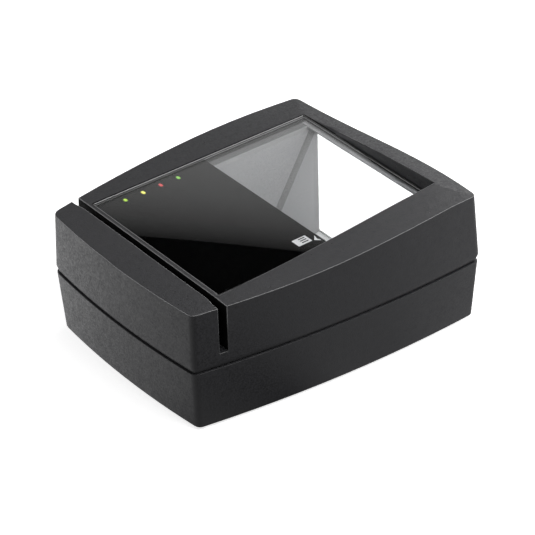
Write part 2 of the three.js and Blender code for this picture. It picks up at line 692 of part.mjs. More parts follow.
const mainPostPlaces = [
  [MAIN_LEFT + MAIN_POST_INSET, MAIN_FRONT + MAIN_POST_INSET],
  [MAIN_RIGHT - MAIN_POST_INSET, MAIN_FRONT + MAIN_POST_INSET],
  [MAIN_RIGHT - MAIN_POST_INSET, MAIN_REAR - USB_DEPTH - MAIN_POST_INSET],
  [MAIN_LEFT + MAIN_POST_INSET, MAIN_REAR - USB_DEPTH - MAIN_POST_INSET],
];

const pilotHole = (x, y, fromZ, toZ) =>
  cylinder(SMALL_SCREW_RADIUS + SCREW_GAP, [x, y, fromZ], [x, y, toZ]);

// Upper half: hollow, with the window recess and deck, the slot trough and screw bosses
function topShell() {
  const caseBlock = upperBlock(0, 0, UPPER_BOTTOM_Z, true);
  const core = extrudeUp(windowPlan(RECESS_CLEARANCE + RECESS_WALL), DECK_BOTTOM_Z, GLASS_TOP_Z + STOP_RISE);
  const reach = CREST_HALF_DEPTH + OVERRUN;
  const trough = box(
    [SLOT_LEFT_X - SLOT_WALL - SLOT_MOUTH_WIDENING, -reach, SLOT_BOTTOM_Z - SLOT_FLOOR],
    [SLOT_RIGHT_X + SLOT_WALL, reach, GLASS_TOP_Z + STOP_RISE],
  );
  const bosses = screwPlaces.map(([x, y]) =>
    cylinder(CASE_BOSS_RADIUS, [x, y, BASE_TOP_Z], [x, y, GLASS_TOP_Z + STOP_RISE]),
  );
  const cavity = cut(
    upperBlock(WALL, TOP_WALL, UPPER_BOTTOM_Z - OVERRUN, false),
    core,
    trough,
    ...bosses.map((boss) => cut(boss, box([-CASE_LENGTH, -reach, 0], [CASE_LENGTH, reach, UPPER_BOTTOM_Z]))),
  );
  const deckZ = [DECK_BOTTOM_Z - OVERRUN, DECK_TOP_Z + OVERRUN];
  const posts = statusPosts.map(([x, y]) =>
    cylinder(POST_RADIUS, [x, y, DECK_BOTTOM_Z - STATUS_POST_HEIGHT], [x, y, DECK_TOP_Z - ANTENNA_SINK]),
  );
  const armStop = box(
    [HEAD_BACK_X, ARM_END_Y, HEAD_Z - ARM_STOP_HEIGHT / 2],
    [STRIP_WALL_X + SLOT_WALL / 2, ARM_END_Y + ARM_STOP_LENGTH, HEAD_Z + ARM_STOP_HEIGHT / 2],
  );
  const blindTop = DECK_BOTTOM_Z + DECK_THICKNESS / 2;
  const headWindow = [HEAD_LENGTH, HEAD_HEIGHT].map((size) => size / 2 + HEAD_WINDOW_CLEARANCE);
  const screwTop = CASE_SCREW_HEAD_Z + CASE_SCREW_LENGTH + OVERRUN;
  return cut(
    join(cut(caseBlock, cavity), armStop, ...posts),
    extrudeUp(windowPlan(RECESS_CLEARANCE), DECK_TOP_Z, GLASS_TOP_Z + 2 * STOP_RISE),
    extrudeUp(deckOpening, ...deckZ),
    stopBevelCutter(),
    slotCutter(SLOT_BOTTOM_Z),
    box(
      [SLOT_LEFT_X - SLOT_WALL - SLOT_MOUTH_WIDENING - OVERRUN, -headWindow[0], HEAD_Z - headWindow[1]],
      [SLOT_X, headWindow[0], HEAD_Z + headWindow[1]],
    ),
    extrudeUp(antennaPlan(-PART_GAP), antennaBottom() - SEAT_GAP, GLASS_TOP_Z),
    ...lights.map((i) => oblong(lightX(i), LIGHT_Y, LIGHT_FIT, ...deckZ)),
    ...screwPlaces.map(([x, y]) =>
      cylinder(CASE_SCREW_RADIUS + SCREW_GAP, [x, y, 0], [x, y, screwTop]),
    ),
    ...statusPosts.map(([x, y]) => pilotHole(x, y, 0, blindTop)),
    ...flangeScrewPlaces.map(([x, y]) => pilotHole(x, y, 0, blindTop)),
    ...bracketScrewPlaces.map(([x, y]) => pilotHole(x, y, 0, blindTop)),
    ...headScrewPlaces.map(([y, z]) =>
      cylinder(SMALL_SCREW_RADIUS + SCREW_GAP, [PIVOT_X, y, z], [SLOT_LEFT_X - SLOT_WALL / 2, y, z]),
    ),
  );
}

// Lower half: a tray with a tongue that closes the shadow gap from inside
function baseShell() {
  const outside = loft([
    atHeight(casePlan(BASE_FLOOR_LEAN, EDGE_ROUND), BASE_BOTTOM_Z),
    atHeight(casePlan(BASE_FLOOR_LEAN), BASE_BOTTOM_Z + EDGE_ROUND),
    atHeight(casePlan(BASE_TOP_LEAN), BASE_TOP_Z - EDGE_ROUND / 2),
    atHeight(casePlan(BASE_TOP_LEAN, EDGE_ROUND / 2), BASE_TOP_Z),
  ]);
  const tongueInset = WALL + PART_GAP;
  const tongueTop = UPPER_BOTTOM_Z + TONGUE_HEIGHT;
  const tongue = loft([
    atHeight(casePlan(NO_LEAN, tongueInset), BASE_TOP_Z - OVERRUN),
    atHeight(casePlan(NO_LEAN, tongueInset), tongueTop),
  ]);
  const rootZ = BASE_TOP_Z - TONGUE_ROOT;
  const cavity = loft([
    atHeight(casePlan(BASE_FLOOR_LEAN, WALL), FLOOR_Z),
    atHeight(casePlan(BASE_TOP_LEAN, WALL), rootZ),
    atHeight(casePlan(NO_LEAN, tongueInset + TONGUE_WALL), rootZ + TONGUE_WALL),
    atHeight(casePlan(NO_LEAN, tongueInset + TONGUE_WALL), tongueTop + OVERRUN),
  ]);
  const bosses = screwPlaces.map(([x, y]) =>
    cylinder(CASE_BOSS_RADIUS, [x, y, BASE_BOTTOM_Z + SEAT_GAP], [x, y, BASE_TOP_Z - CASE_BOSS_GAP]),
  );
  const posts = mainPostPlaces.map(([x, y]) =>
    cylinder(POST_RADIUS, [x, y, BASE_BOTTOM_Z + SEAT_GAP], [x, y, FLOOR_Z + MAIN_BOARD_POST]),
  );
  const footSeatZ = BASE_BOTTOM_Z + FOOT_SINK + SEAT_GAP;
  return cut(
    join(cut(join(outside, tongue), cavity), ...bosses, ...posts),
    ...screwPlaces.map(([x, y]) =>
      cylinder(CASE_SCREW_HEAD_RADIUS + SCREW_GAP, [x, y, 0], [x, y, CASE_SCREW_HEAD_Z]),
    ),
    ...screwPlaces.map(([x, y]) =>
      cylinder(CASE_SCREW_RADIUS + SCREW_GAP, [x, y, 0], [x, y, BASE_TOP_Z + OVERRUN]),
    ),
    ...footPlaces.map(([x, y]) =>
      cylinder(FOOT_RADIUS + FOOT_FIT, [x, y, 0], [x, y, footSeatZ], ROUND_SEGMENTS),
    ),
    ...mainPostPlaces.map(([x, y]) =>
      pilotHole(x, y, MAIN_BOARD_Z - SMALL_SCREW_GRIP - OVERRUN, MAIN_BOARD_Z + OVERRUN),
    ),
    inletHole(USB_X, USB_WIDTH, USB_HEIGHT),
    inletHole(JACK_X, JACK_WIDTH, JACK_HEIGHT),
  );
}

function inletHole(x, width, height) {
  return box(
    [x - width / 2 - INLET_FIT, MAIN_REAR - WALL, BOARD_TOP_Z + SEAT_GAP - INLET_FIT],
    [x + width / 2 + INLET_FIT, CREST_HALF_DEPTH + OVERRUN, BOARD_TOP_Z + SEAT_GAP + height + INLET_FIT],
  );
}

// Where the rear wall's outer face is, at the height of the inlets
function rearFaceY(x) {
  const t = (BOARD_TOP_Z - BASE_BOTTOM_Z) / BASE_HEIGHT;
  const lean = BASE_FLOOR_LEAN.rear + (BASE_TOP_LEAN.rear - BASE_FLOOR_LEAN.rear) * t;
  const { rear } = caseSides({ ...NO_LEAN, rear: lean });
  return rear.y + Math.sqrt(rear.r ** 2 - (x - rear.x) ** 2);
}

function windowGlass() {
  return extrudeUp(windowPlan(0), GLASS_BOTTOM_Z, GLASS_TOP_Z);
}

// Opaque print carrier below the glass, open over the document page
function windowMask() {
  const page = box(
    [PAGE_LEFT, PAGE_FRONT, MASK_BOTTOM_Z - OVERRUN],
    [WINDOW_RIGHT + OVERRUN, PAGE_REAR, MASK_TOP_Z + OVERRUN],
  );
  return cut(
    extrudeUp(windowPlan(-MASK_MARGIN), MASK_BOTTOM_Z, MASK_TOP_Z),
    page,
    ...lights.map((i) =>
      oblong(lightX(i), LIGHT_Y, LIGHT_FIT, MASK_BOTTOM_Z - OVERRUN, MASK_TOP_Z + OVERRUN),
    ),
  );
}

// Soft frame between deck and mask. On three sides of the page a lip lines the deck's opening
function windowGasket() {
  const underPrint = rectanglePlan(
    [WINDOW_LEFT + MASK_MARGIN + GASKET_BAND, -WINDOW_REAR + GASKET_BAND],
    [CHAMBER_LEFT - GASKET_LIP - GASKET_BAND, WINDOW_REAR - GASKET_BAND],
    GASKET_CORNER_RADIUS,
  );
  const overChamber = rectanglePlan(
    [CHAMBER_LEFT, CHAMBER_FRONT],
    [WINDOW_RIGHT - GASKET_RIGHT_BAND, CHAMBER_REAR],
    GASKET_CORNER_RADIUS,
  );
  const frameZ = [DECK_TOP_Z + SEAT_GAP, GASKET_TOP_Z];
  const lipPlan = rectanglePlan(
    [CHAMBER_LEFT - GASKET_LIP + LIP_FIT, CHAMBER_FRONT - GASKET_LIP + LIP_FIT],
    [WINDOW_RIGHT - DECK_RIGHT_LEDGE - LIP_FIT, CHAMBER_REAR + GASKET_LIP - LIP_FIT],
    GLASS_CORNER_RADIUS,
  );
  const insideLip = box(
    [CHAMBER_LEFT, CHAMBER_FRONT, DECK_BOTTOM_Z - OVERRUN],
    [WINDOW_RIGHT, CHAMBER_REAR, frameZ[0]],
  );
  const frame = extrudeUp(windowPlan(-MASK_MARGIN), ...frameZ);
  return cut(
    join(frame, cut(extrudeUp(lipPlan, DECK_BOTTOM_Z, frameZ[1]), insideLip)),
    extrudeUp(underPrint, frameZ[0] - OVERRUN, frameZ[1] + OVERRUN),
    extrudeUp(overChamber, DECK_BOTTOM_Z - OVERRUN, frameZ[1] + OVERRUN),
  );
}

// The antenna's outline, drawn in from its outer edge
function antennaPlan(inset) {
  return rectanglePlan(
    [WINDOW_LEFT + ANTENNA_SIDE_MARGIN + inset, -WINDOW_REAR + ANTENNA_FRONT_MARGIN + inset],
    [PAGE_LEFT - ANTENNA_SIDE_MARGIN - inset, WINDOW_REAR - ANTENNA_REAR_MARGIN - inset],
    GLASS_CORNER_RADIUS,
  );
}

function antennaBottom() {
  return DECK_TOP_Z - ANTENNA_SINK - ANTENNA_THICKNESS;
}

function antennaBoard() {
  return ring(
    antennaPlan(0),
    antennaPlan(ANTENNA_BAND),
    antennaBottom(),
    antennaBottom() + ANTENNA_THICKNESS,
  );
}

function statusLight(i) {
  const low = STATUS_BOARD_TOP_Z + LED_CHIP_HEIGHT + SEAT_GAP;
  return oblong(lightX(i), LIGHT_Y, 0, low, GLASS_BOTTOM_Z - SEAT_GAP);
}

function statusBoard() {
  const low = STATUS_BOARD_TOP_Z - BOARD_THICKNESS;
  const overhang = STATUS_BOARD_OVERHANG + POST_RADIUS;
  const halfDepth = STATUS_BOARD_DEPTH / 2;
  const plate = box(
    [lightX(0) - overhang, LIGHT_Y - halfDepth, low],
    [lightX(LIGHT_COUNT - 1) + overhang, LIGHT_Y + halfDepth, STATUS_BOARD_TOP_Z],
  );
  const chips = lights.map((i) =>
    box(
      [lightX(i) - LED_CHIP / 2, LIGHT_Y - LED_CHIP / 2, STATUS_BOARD_TOP_Z - SEAT_GAP],
      [lightX(i) + LED_CHIP / 2, LIGHT_Y + LED_CHIP / 2, STATUS_BOARD_TOP_Z + LED_CHIP_HEIGHT],
    ),
  );
  return cut(
    join(plate, ...chips),
    ...statusPosts.map(([x, y]) => pilotHole(x, y, low - OVERRUN, STATUS_BOARD_TOP_Z + OVERRUN)),
  );
}

const MIRROR_SLOPE = Math.tan(THREE.MathUtils.degToRad(MIRROR_ANGLE));
const mirrorX = (z) => MIRROR_TOP_X - (MIRROR_TOP_Z - z) / MIRROR_SLOPE;
const levelThickness = (thickness) => thickness / Math.sin(THREE.MathUtils.degToRad(MIRROR_ANGLE));

// A rectangle of the chamber at one height: its front and rear walls close in downwards
function chamberLevel(z, leftX, rightX, grow) {
  const closing = (CHAMBER_TOP_Z - z) * CHAMBER_TAPER - grow;
  const frontY = CHAMBER_FRONT + closing;
  const rearY = CHAMBER_REAR - closing;
  return [[leftX, frontY, z], [rightX, frontY, z], [rightX, rearY, z], [leftX, rearY, z]];
}

// A folded hopper below the page: tapering front and rear walls, and a sloping back
function opticsChamber() {
  const backRun = levelThickness(MIRROR_THICKNESS + SEAT_GAP);
  const skinRun = backRun + levelThickness(CHAMBER_WALL);
  const hollow = loft(
    [CHAMBER_BOTTOM + CHAMBER_WALL, CHAMBER_TOP_Z + OVERRUN].map((z) =>
      chamberLevel(z, CHAMBER_LEFT, mirrorX(z) + backRun, 0),
    ),
  );
  const skin = loft(
    [CHAMBER_BOTTOM, CHAMBER_TOP_Z].map((z) =>
      chamberLevel(z, CHAMBER_LEFT - CHAMBER_WALL, mirrorX(z) + skinRun, CHAMBER_WALL),
    ),
  );
  const flangeReach = flangeScrewReach + SMALL_SCREW_HEAD_RADIUS;
  const flange = box(
    [CHAMBER_LEFT - CHAMBER_WALL, CHAMBER_FRONT - flangeReach, CHAMBER_TOP_Z - FLANGE_THICKNESS],
    [MIRROR_TOP_X, CHAMBER_REAR + flangeReach, CHAMBER_TOP_Z],
  );
  const aperture = box(
    [CHAMBER_LEFT - CHAMBER_WALL - OVERRUN, -APERTURE_WIDTH / 2, APERTURE_LOW_Z],
    [CHAMBER_LEFT + OVERRUN, APERTURE_WIDTH / 2, APERTURE_HIGH_Z],
  );
  return cut(
    join(skin, flange),
    hollow,
    aperture,
    ...flangeScrewPlaces.map(([x, y]) => pilotHole(x, y, APERTURE_HIGH_Z, CHAMBER_TOP_Z + OVERRUN)),
  );
}

function foldMirror() {
  const run = levelThickness(MIRROR_THICKNESS);
  return loft(
    [MIRROR_LOW_Z, MIRROR_TOP_Z].map((z) =>
      chamberLevel(z, mirrorX(z), mirrorX(z) + run, -MIRROR_SIDE_GAP),
    ),
  );
}

// A strip of white light sources on the chamber's left wall
function illuminationBar(side) {
  const y = side * (APERTURE_WIDTH / 2 + BAR_MARGIN + BAR_WIDTH / 2);
  const lowX = CHAMBER_LEFT + SEAT_GAP;
  const lowZ = (APERTURE_LOW_Z + APERTURE_HIGH_Z - BAR_HEIGHT) / 2;
  const plate = box(
    [lowX, y - BAR_WIDTH / 2, lowZ],
    [lowX + BOARD_THICKNESS, y + BAR_WIDTH / 2, lowZ + BAR_HEIGHT],
  );
  const pitch = BAR_HEIGHT / BAR_LED_COUNT;
  const sources = Array.from({ length: BAR_LED_COUNT }, (_, i) => {
    const z = lowZ + pitch * (i + 1 / 2);
    const half = BAR_LED_SIZE / 2;
    return box(
      [lowX + BOARD_THICKNESS / 2, y - half, z - half],
      [lowX + BOARD_THICKNESS + BAR_LED_HEIGHT, y + half, z + half],
    );
  });
  return join(plate, ...sources);
}

// Angle bracket below the deck that carries the camera board
function cameraBracket() {
  const top = DECK_BOTTOM_Z - SEAT_GAP;
  const lowZ = CAMERA_Z - CAMERA_BOARD_SIZE / 2 - BRACKET_MARGIN;
  const half = BRACKET_WIDTH / 2;
  const foot = box(
    [CAMERA_X - BRACKET_FOOT, -half, top - BRACKET_SHEET],
    [CAMERA_X, half, top],
  );
  const web = box([CAMERA_X - BRACKET_SHEET, -half, lowZ], [CAMERA_X, half, top]);
  const posts = cameraPosts().map(([y, z]) =>
    cylinder(CAMERA_POST_RADIUS, [CAMERA_X - SEAT_GAP, y, z], [CAMERA_X + CAMERA_POST_LENGTH, y, z]),
  );
  const postEnd = CAMERA_X + CAMERA_POST_LENGTH;
  const holeDepth = SMALL_SCREW_GRIP + PART_GAP;
  const holeRadius = SMALL_SCREW_RADIUS + SCREW_GAP;
  return cut(
    join(foot, web, ...posts),
    ...bracketScrewPlaces.map(([x, y]) => pilotHole(x, y, CAMERA_Z, top + OVERRUN)),
    ...cameraPosts().map(([y, z]) =>
      cylinder(holeRadius, [postEnd - holeDepth, y, z], [postEnd + OVERRUN, y, z]),
    ),
  );
}

function cameraPosts() {
  const reach = CAMERA_BOARD_SIZE / 2 - CAMERA_POST_INSET;
  return [-1, 1].flatMap((a) => [-1, 1].map((b) => [a * reach, CAMERA_Z + b * reach]));
}

const CAMERA_BOARD_X = CAMERA_X + CAMERA_POST_LENGTH + SEAT_GAP;
const HOLDER_X = CAMERA_BOARD_X + BOARD_THICKNESS + SEAT_GAP;

function cameraBoard() {
  const half = CAMERA_BOARD_SIZE / 2;
  const plate = box(
    [CAMERA_BOARD_X, -half, CAMERA_Z - half],
    [CAMERA_BOARD_X + BOARD_THICKNESS, half, CAMERA_Z + half],
  );
  const sensorHalf = SENSOR_SIZE / 2;
  const sensor = box(
    [CAMERA_BOARD_X + SEAT_GAP, -sensorHalf, CAMERA_Z - sensorHalf],
    [CAMERA_BOARD_X + BOARD_THICKNESS + SENSOR_HEIGHT, sensorHalf, CAMERA_Z + sensorHalf],
  );
  return cut(
    join(plate, sensor),
    ...cameraPosts().map(([y, z]) =>
      cylinder(
        SMALL_SCREW_RADIUS + SCREW_GAP,
        [CAMERA_X, y, z],
        [CAMERA_BOARD_X + BOARD_THICKNESS + OVERRUN, y, z],
      ),
    ),
  );
}

// Square holder and round barrel in one piece, bored through over the sensor
function lensBarrel() {
  const half = LENS_HOLDER_SIZE / 2;
  const holder = box(
    [HOLDER_X, -half, CAMERA_Z - half],
    [HOLDER_X + LENS_HOLDER_DEPTH, half, CAMERA_Z + half],
  );
  const end = HOLDER_X + LENS_HOLDER_DEPTH + BARREL_LENGTH;
  const along = (radius, from, to) =>
    cylinder(radius, [from, 0, CAMERA_Z], [to, 0, CAMERA_Z], ROUND_SEGMENTS);
  const seatX = end - LENS_SETBACK - LENS_EDGE - LENS_BULGE - SEAT_GAP;
  return cut(
    join(holder, along(BARREL_RADIUS, HOLDER_X + SEAT_GAP, end)),
    along(BARREL_BORE_RADIUS, seatX, end + OVERRUN),
    along(BARREL_BORE_RADIUS - BARREL_LIP, HOLDER_X + SENSOR_HEIGHT, seatX + OVERRUN),
    box(
      [HOLDER_X - OVERRUN, -SENSOR_SIZE, CAMERA_Z - SENSOR_SIZE],
      [HOLDER_X + SENSOR_HEIGHT + PART_GAP, SENSOR_SIZE, CAMERA_Z + SENSOR_SIZE],
    ),
  );
}

// Domed front element of the lens, turned about the camera's axis
function lensElement() {
  const end = HOLDER_X + LENS_HOLDER_DEPTH + BARREL_LENGTH;
  const rim = Array.from({ length: CROWN_SEGMENTS + 1 }, (_, k) => {
    const t = 1 - k / CROWN_SEGMENTS;
    return new THREE.Vector2(LENS_RADIUS * t, LENS_EDGE + LENS_BULGE * (1 - t * t));
  });
  const profile = [new THREE.Vector2(0, 0), new THREE.Vector2(LENS_RADIUS, 0), ...rim];
  const geometry = new THREE.LatheGeometry(profile, ROUND_SEGMENTS);
  geometry.rotateZ(-Math.PI / 2);
  geometry.translate(end - LENS_SETBACK - LENS_EDGE - LENS_BULGE, 0, CAMERA_Z);
  return toSolid(geometry);
}

function mainBoard() {
  const plate = box([MAIN_LEFT, MAIN_FRONT, MAIN_BOARD_Z], [MAIN_RIGHT, MAIN_REAR, BOARD_TOP_Z]);
  const x = (MAIN_LEFT + MAIN_RIGHT) / 2;
  const chip = box(
    [x - CHIP_SIZE / 2, CHIP_Y - CHIP_SIZE / 2, BOARD_TOP_Z - SEAT_GAP],
    [x + CHIP_SIZE / 2, CHIP_Y + CHIP_SIZE / 2, BOARD_TOP_Z + CHIP_HEIGHT],
  );
  return cut(
    join(plate, chip),
    ...mainPostPlaces.map(([px, py]) => pilotHole(px, py, MAIN_BOARD_Z - OVERRUN, BOARD_TOP_Z + OVERRUN)),
  );
}

// Square data inlet: a shielded shell with two bevelled upper corners and a tongue
function usbInlet() {
  const front = rearFaceY(USB_X) - INLET_RECESS;
  const low = BOARD_TOP_Z + SEAT_GAP;
  const shell = box(
    [USB_X - USB_WIDTH / 2, front - USB_DEPTH, low],
    [USB_X + USB_WIDTH / 2, front, low + USB_HEIGHT],
  );
  const half = USB_MOUTH_WIDTH / 2;
  const mouthLow = low + (USB_HEIGHT - USB_MOUTH_HEIGHT) / 2;
  const mouthHigh = mouthLow + USB_MOUTH_HEIGHT;
  const mouth = [
    [USB_X - half, mouthLow],
    [USB_X + half, mouthLow],
    [USB_X + half, mouthHigh - USB_CHAMFER],
    [USB_X + half - USB_CHAMFER, mouthHigh],
    [USB_X - half + USB_CHAMFER, mouthHigh],
    [USB_X - half, mouthHigh - USB_CHAMFER],
  ];
  const centreZ = (mouthLow + mouthHigh) / 2;
  const tongue = box(
    [USB_X - USB_TONGUE_WIDTH / 2, front - USB_MOUTH_DEPTH - OVERRUN, centreZ - USB_TONGUE_HEIGHT / 2],
    [USB_X + USB_TONGUE_WIDTH / 2, front - INLET_RECESS, centreZ + USB_TONGUE_HEIGHT / 2],
  );
  return join(cut(shell, extrudeAlongY(mouth, front - USB_MOUTH_DEPTH, front + OVERRUN)), tongue);
}

// Round power inlet with its centre pin
function powerInlet() {
  const front = rearFaceY(JACK_X) - INLET_RECESS;
  const low = BOARD_TOP_Z + SEAT_GAP;
  const centreZ = low + JACK_HEIGHT / 2;
  const body = box(
    [JACK_X - JACK_WIDTH / 2, front - JACK_DEPTH, low],
    [JACK_X + JACK_WIDTH / 2, front, low + JACK_HEIGHT],
  );
  const mouth = cylinder(
    JACK_BORE_RADIUS,
    [JACK_X, front - JACK_MOUTH_DEPTH, centreZ],
    [JACK_X, front + OVERRUN, centreZ],
    ROUND_SEGMENTS,
  );
  const pin = cylinder(
    JACK_PIN_RADIUS,
    [JACK_X, front - JACK_MOUTH_DEPTH - OVERRUN, centreZ],
    [JACK_X, front - INLET_RECESS, centreZ],
  );
  return join(cut(body, mouth), pin);
}

function slotWearStrip() {
  return box(
    [SLOT_LEFT_X + PART_GAP, -WEAR_STRIP_LENGTH / 2, SLOT_BOTTOM_Z + SEAT_GAP],
    [SLOT_RIGHT_X - PART_GAP, WEAR_STRIP_LENGTH / 2, SLOT_BOTTOM_Z + SEAT_GAP + WEAR_STRIP_THICKNESS],
  );
}

// Read head: a block whose working face is crowned towards the slot
function readHead() {
  const crown = Array.from({ length: CROWN_SEGMENTS + 1 }, (_, k) => {
    const t = (2 * k) / CROWN_SEGMENTS - 1;
    return [HEAD_FACE_X - HEAD_CROWN * t * t, (HEAD_LENGTH / 2) * t];
  });
  const plan = [[HEAD_BACK_X, HEAD_LENGTH / 2], [HEAD_BACK_X, -HEAD_LENGTH / 2], ...crown];
  return extrudeUp(plan, HEAD_Z - HEAD_HEIGHT / 2, HEAD_Z + HEAD_HEIGHT / 2);
}

// Arm behind the head: a plate, the hub that turns on the pin and a tab for the spring
function headArm() {
  const backX = HEAD_BACK_X - SEAT_GAP;
  const plate = box([ARM_BACK_X, ARM_END_Y, ARM_LOW_Z], [backX, PIVOT_Y, ARM_HIGH_Z]);
  const tabY = PIVOT_Y - SPRING_LEG;
  const tab = box(
    [ARM_BACK_X, tabY, ARM_LOW_Z],
    [backX, tabY + ARM_TAB, SPRING_HIGH_Z + SPRING_WIRE_RADIUS],
  );
  const upright = (radius, overrun) =>
    cylinder(
      radius,
      [PIVOT_X, PIVOT_Y, ARM_LOW_Z - overrun],
      [PIVOT_X, PIVOT_Y, ARM_HIGH_Z + overrun],
      ROUND_SEGMENTS,
    );
  return cut(join(plate, tab, upright(HUB_RADIUS, 0)), upright(PIN_RADIUS + PIVOT_FIT, OVERRUN));
}

const headScrewPlaces = [-1, 1].map((side) => {
  const middleZ = (EAR_LOW_Z + EAR_HIGH_Z + BRACKET_EAR) / 2;
  return [PIVOT_Y + SPRING_LEG + BRACKET_EAR_WIDTH, middleZ + side * BRACKET_EAR_WIDTH / 2];
});

// Fixed bracket on the slot wall, with two ears for the pin and a rest for the spring
function headBracket() {
  const wallX = STRIP_WALL_X - SEAT_GAP;
  const top = EAR_HIGH_Z + BRACKET_EAR;
  const plateY = PIVOT_Y + BRACKET_EAR_WIDTH / 2;
  const plate = box([wallX - BRACKET_PLATE, plateY, EAR_LOW_Z], [wallX, plateY + BRACKET_LENGTH, top]);
  const ear = (z) =>
    box(
      [PIVOT_X - BRACKET_EAR_WIDTH / 2, PIVOT_Y - BRACKET_EAR_WIDTH / 2, z],
      [wallX, plateY + BRACKET_EAR, z + BRACKET_EAR],
    );
  const restX = PIVOT_X - SPRING_COIL_RADIUS + SPRING_WIRE_RADIUS + SPRING_TRAVEL;
  const rest = box(
    [restX, PIVOT_Y + SPRING_LEG - BRACKET_EAR, EAR_LOW_Z],
    [wallX, PIVOT_Y + SPRING_LEG, top],
  );
  const hole = cylinder(
    PIN_RADIUS + SEAT_GAP,
    [PIVOT_X, PIVOT_Y, EAR_LOW_Z - OVERRUN],
    [PIVOT_X, PIVOT_Y, top + OVERRUN],
  );
  return cut(
    join(plate, ear(EAR_LOW_Z), ear(EAR_HIGH_Z), rest),
    hole,
    ...headScrewPlaces.map(([y, z]) =>
      cylinder(SMALL_SCREW_RADIUS + SCREW_GAP, [PIVOT_X, y, z], [wallX + OVERRUN, y, z]),
    ),
  );
}

function pivotPin() {
  const top = EAR_HIGH_Z + BRACKET_EAR + PART_GAP;
  return cylinder(PIN_RADIUS, [PIVOT_X, PIVOT_Y, EAR_LOW_Z - PART_GAP], [PIVOT_X, PIVOT_Y, top]);
}

// Torsion spring about the pin: a coil with two straight legs
class SpringPath extends THREE.Curve {
  getPoint(t, target = new THREE.Vector3()) {
    const turn = 2 * Math.PI * SPRING_TURNS * t;
    return target.set(
      PIVOT_X - SPRING_COIL_RADIUS * Math.cos(turn),
      PIVOT_Y + SPRING_COIL_RADIUS * Math.sin(turn),
      SPRING_LOW_Z + SPRING_PITCH * SPRING_TURNS * t,
    );
  }
}

function torsionSpring() {
  const section = new THREE.Shape(
    Array.from({ length: SPRING_SIDES }, (_, i) => {
      const angle = (2 * Math.PI * i) / SPRING_SIDES;
      return new THREE.Vector2(Math.cos(angle), Math.sin(angle)).multiplyScalar(SPRING_WIRE_RADIUS);
    }),
  );
  const coil = new THREE.ExtrudeGeometry(section, {
    steps: SPRING_TURNS * SPRING_SEGMENTS_PER_TURN,
    extrudePath: new SpringPath(),
  });
  const legX = PIVOT_X - SPRING_COIL_RADIUS;
  const legs = [[-1, SPRING_LOW_Z], [1, SPRING_HIGH_Z]].map(([way, z]) =>
    cylinder(
      SPRING_WIRE_RADIUS,
      [legX, PIVOT_Y - way * SPRING_WIRE_RADIUS, z],
      [legX, PIVOT_Y + way * SPRING_LEG, z],
      SPRING_SIDES,
    ),
  );
  return join(toSolid(coil), ...legs);
}

// A pan-head screw with a socket, pointing along a unit direction
function screw(at, direction, radius, headRadius, headHeight, length) {
  const point = (distance) => at.map((value, axis) => value + direction[axis] * distance);
  const head = cylinder(headRadius, point(-headHeight), point(0));
  const shank = cylinder(radius, point(-headHeight / 2), point(length));
  const socketDepth = headHeight * SCREW_SOCKET_DEPTH_SHARE;
  const socket = cylinder(
    headRadius * SCREW_SOCKET_SHARE,
    point(-headHeight - OVERRUN),
    point(socketDepth - headHeight),
    SCREW_SOCKET_SIDES,
  );
  return cut(join(head, shank), socket);
}

const smallScrew = (at, direction, length) =>
  screw(at, direction, SMALL_SCREW_RADIUS, SMALL_SCREW_HEAD_RADIUS, SMALL_SCREW_HEAD, length);

function caseScrew([x, y]) {
  const at = [x, y, CASE_SCREW_HEAD_Z - SEAT_GAP];
  return screw(at, [0, 0, 1], CASE_SCREW_RADIUS, CASE_SCREW_HEAD_RADIUS, CASE_SCREW_HEAD, CASE_SCREW_LENGTH);
}

// Rubber foot with a rounded lower edge, set in a shallow pocket
function foot([x, y]) {
  const top = BASE_BOTTOM_Z + FOOT_SINK;
  const profile = [
    new THREE.Vector2(0, 0),
    new THREE.Vector2(FOOT_RADIUS - FOOT_ROUND, 0),
    new THREE.Vector2(FOOT_RADIUS, FOOT_ROUND),
    new THREE.Vector2(FOOT_RADIUS, top),
    new THREE.Vector2(0, top),
  ];
  const geometry = new THREE.LatheGeometry(profile, ROUND_SEGMENTS);
  geometry.rotateX(Math.PI / 2);
  geometry.translate(x, y, 0);
  return toSolid(geometry);
}

// Materials and the list of nodes
const plastic = (color) => ({ color, roughness: 0.75 });
const CHARCOAL = plastic(0x2b2c2e);
const CHAMBER_GREY = plastic(0xa9aaac);
const BOARD_GREEN = { color: 0x1f5b3a, roughness: 0.5 };
const STEEL = { color: 0xb9bcc0, roughness: 0.35, metalness: 1 };
const BLACK = plastic(0x141416);

const reader = new THREE.Group();
reader.name = "id_document_reader";

function add(name, solid, look) {
  const mesh = new THREE.Mesh(toGeometry(solid), new THREE.MeshStandardMaterial(look));
  mesh.name = name;
  reader.add(mesh);
}

add("base_shell", baseShell(), CHARCOAL);
add("top_shell", topShell(), CHARCOAL);
add("window_glass", windowGlass(), { color: 0xe8eef0, roughness: 0.05, transparent: true, opacity: 0.35 });
add("window_mask", windowMask(), BLACK);
add("window_gasket", windowGasket(), CHAMBER_GREY);
lights.forEach((i) => {
  add(`status_light_${i + 1}`, statusLight(i), { color: LIGHT_COLOURS[i], roughness: 0.3 });
});
add("status_board", statusBoard(), BOARD_GREEN);
add("antenna_board", antennaBoard(), BOARD_GREEN);
add("optics_chamber", opticsChamber(), CHAMBER_GREY);
add("fold_mirror", foldMirror(), { color: 0xf4f6f8, roughness: 0.03, metalness: 1 });
add("illumination_bar_front", illuminationBar(-1), { color: 0xf1f1ec, roughness: 0.4 });
add("illumination_bar_rear", illuminationBar(1), { color: 0xf1f1ec, roughness: 0.4 });
add("camera_bracket", cameraBracket(), STEEL);
add("camera_board", cameraBoard(), BOARD_GREEN);
add("lens_barrel", lensBarrel(), BLACK);
add("lens_element", lensElement(), { color: 0x3c4a6e, roughness: 0.05 });
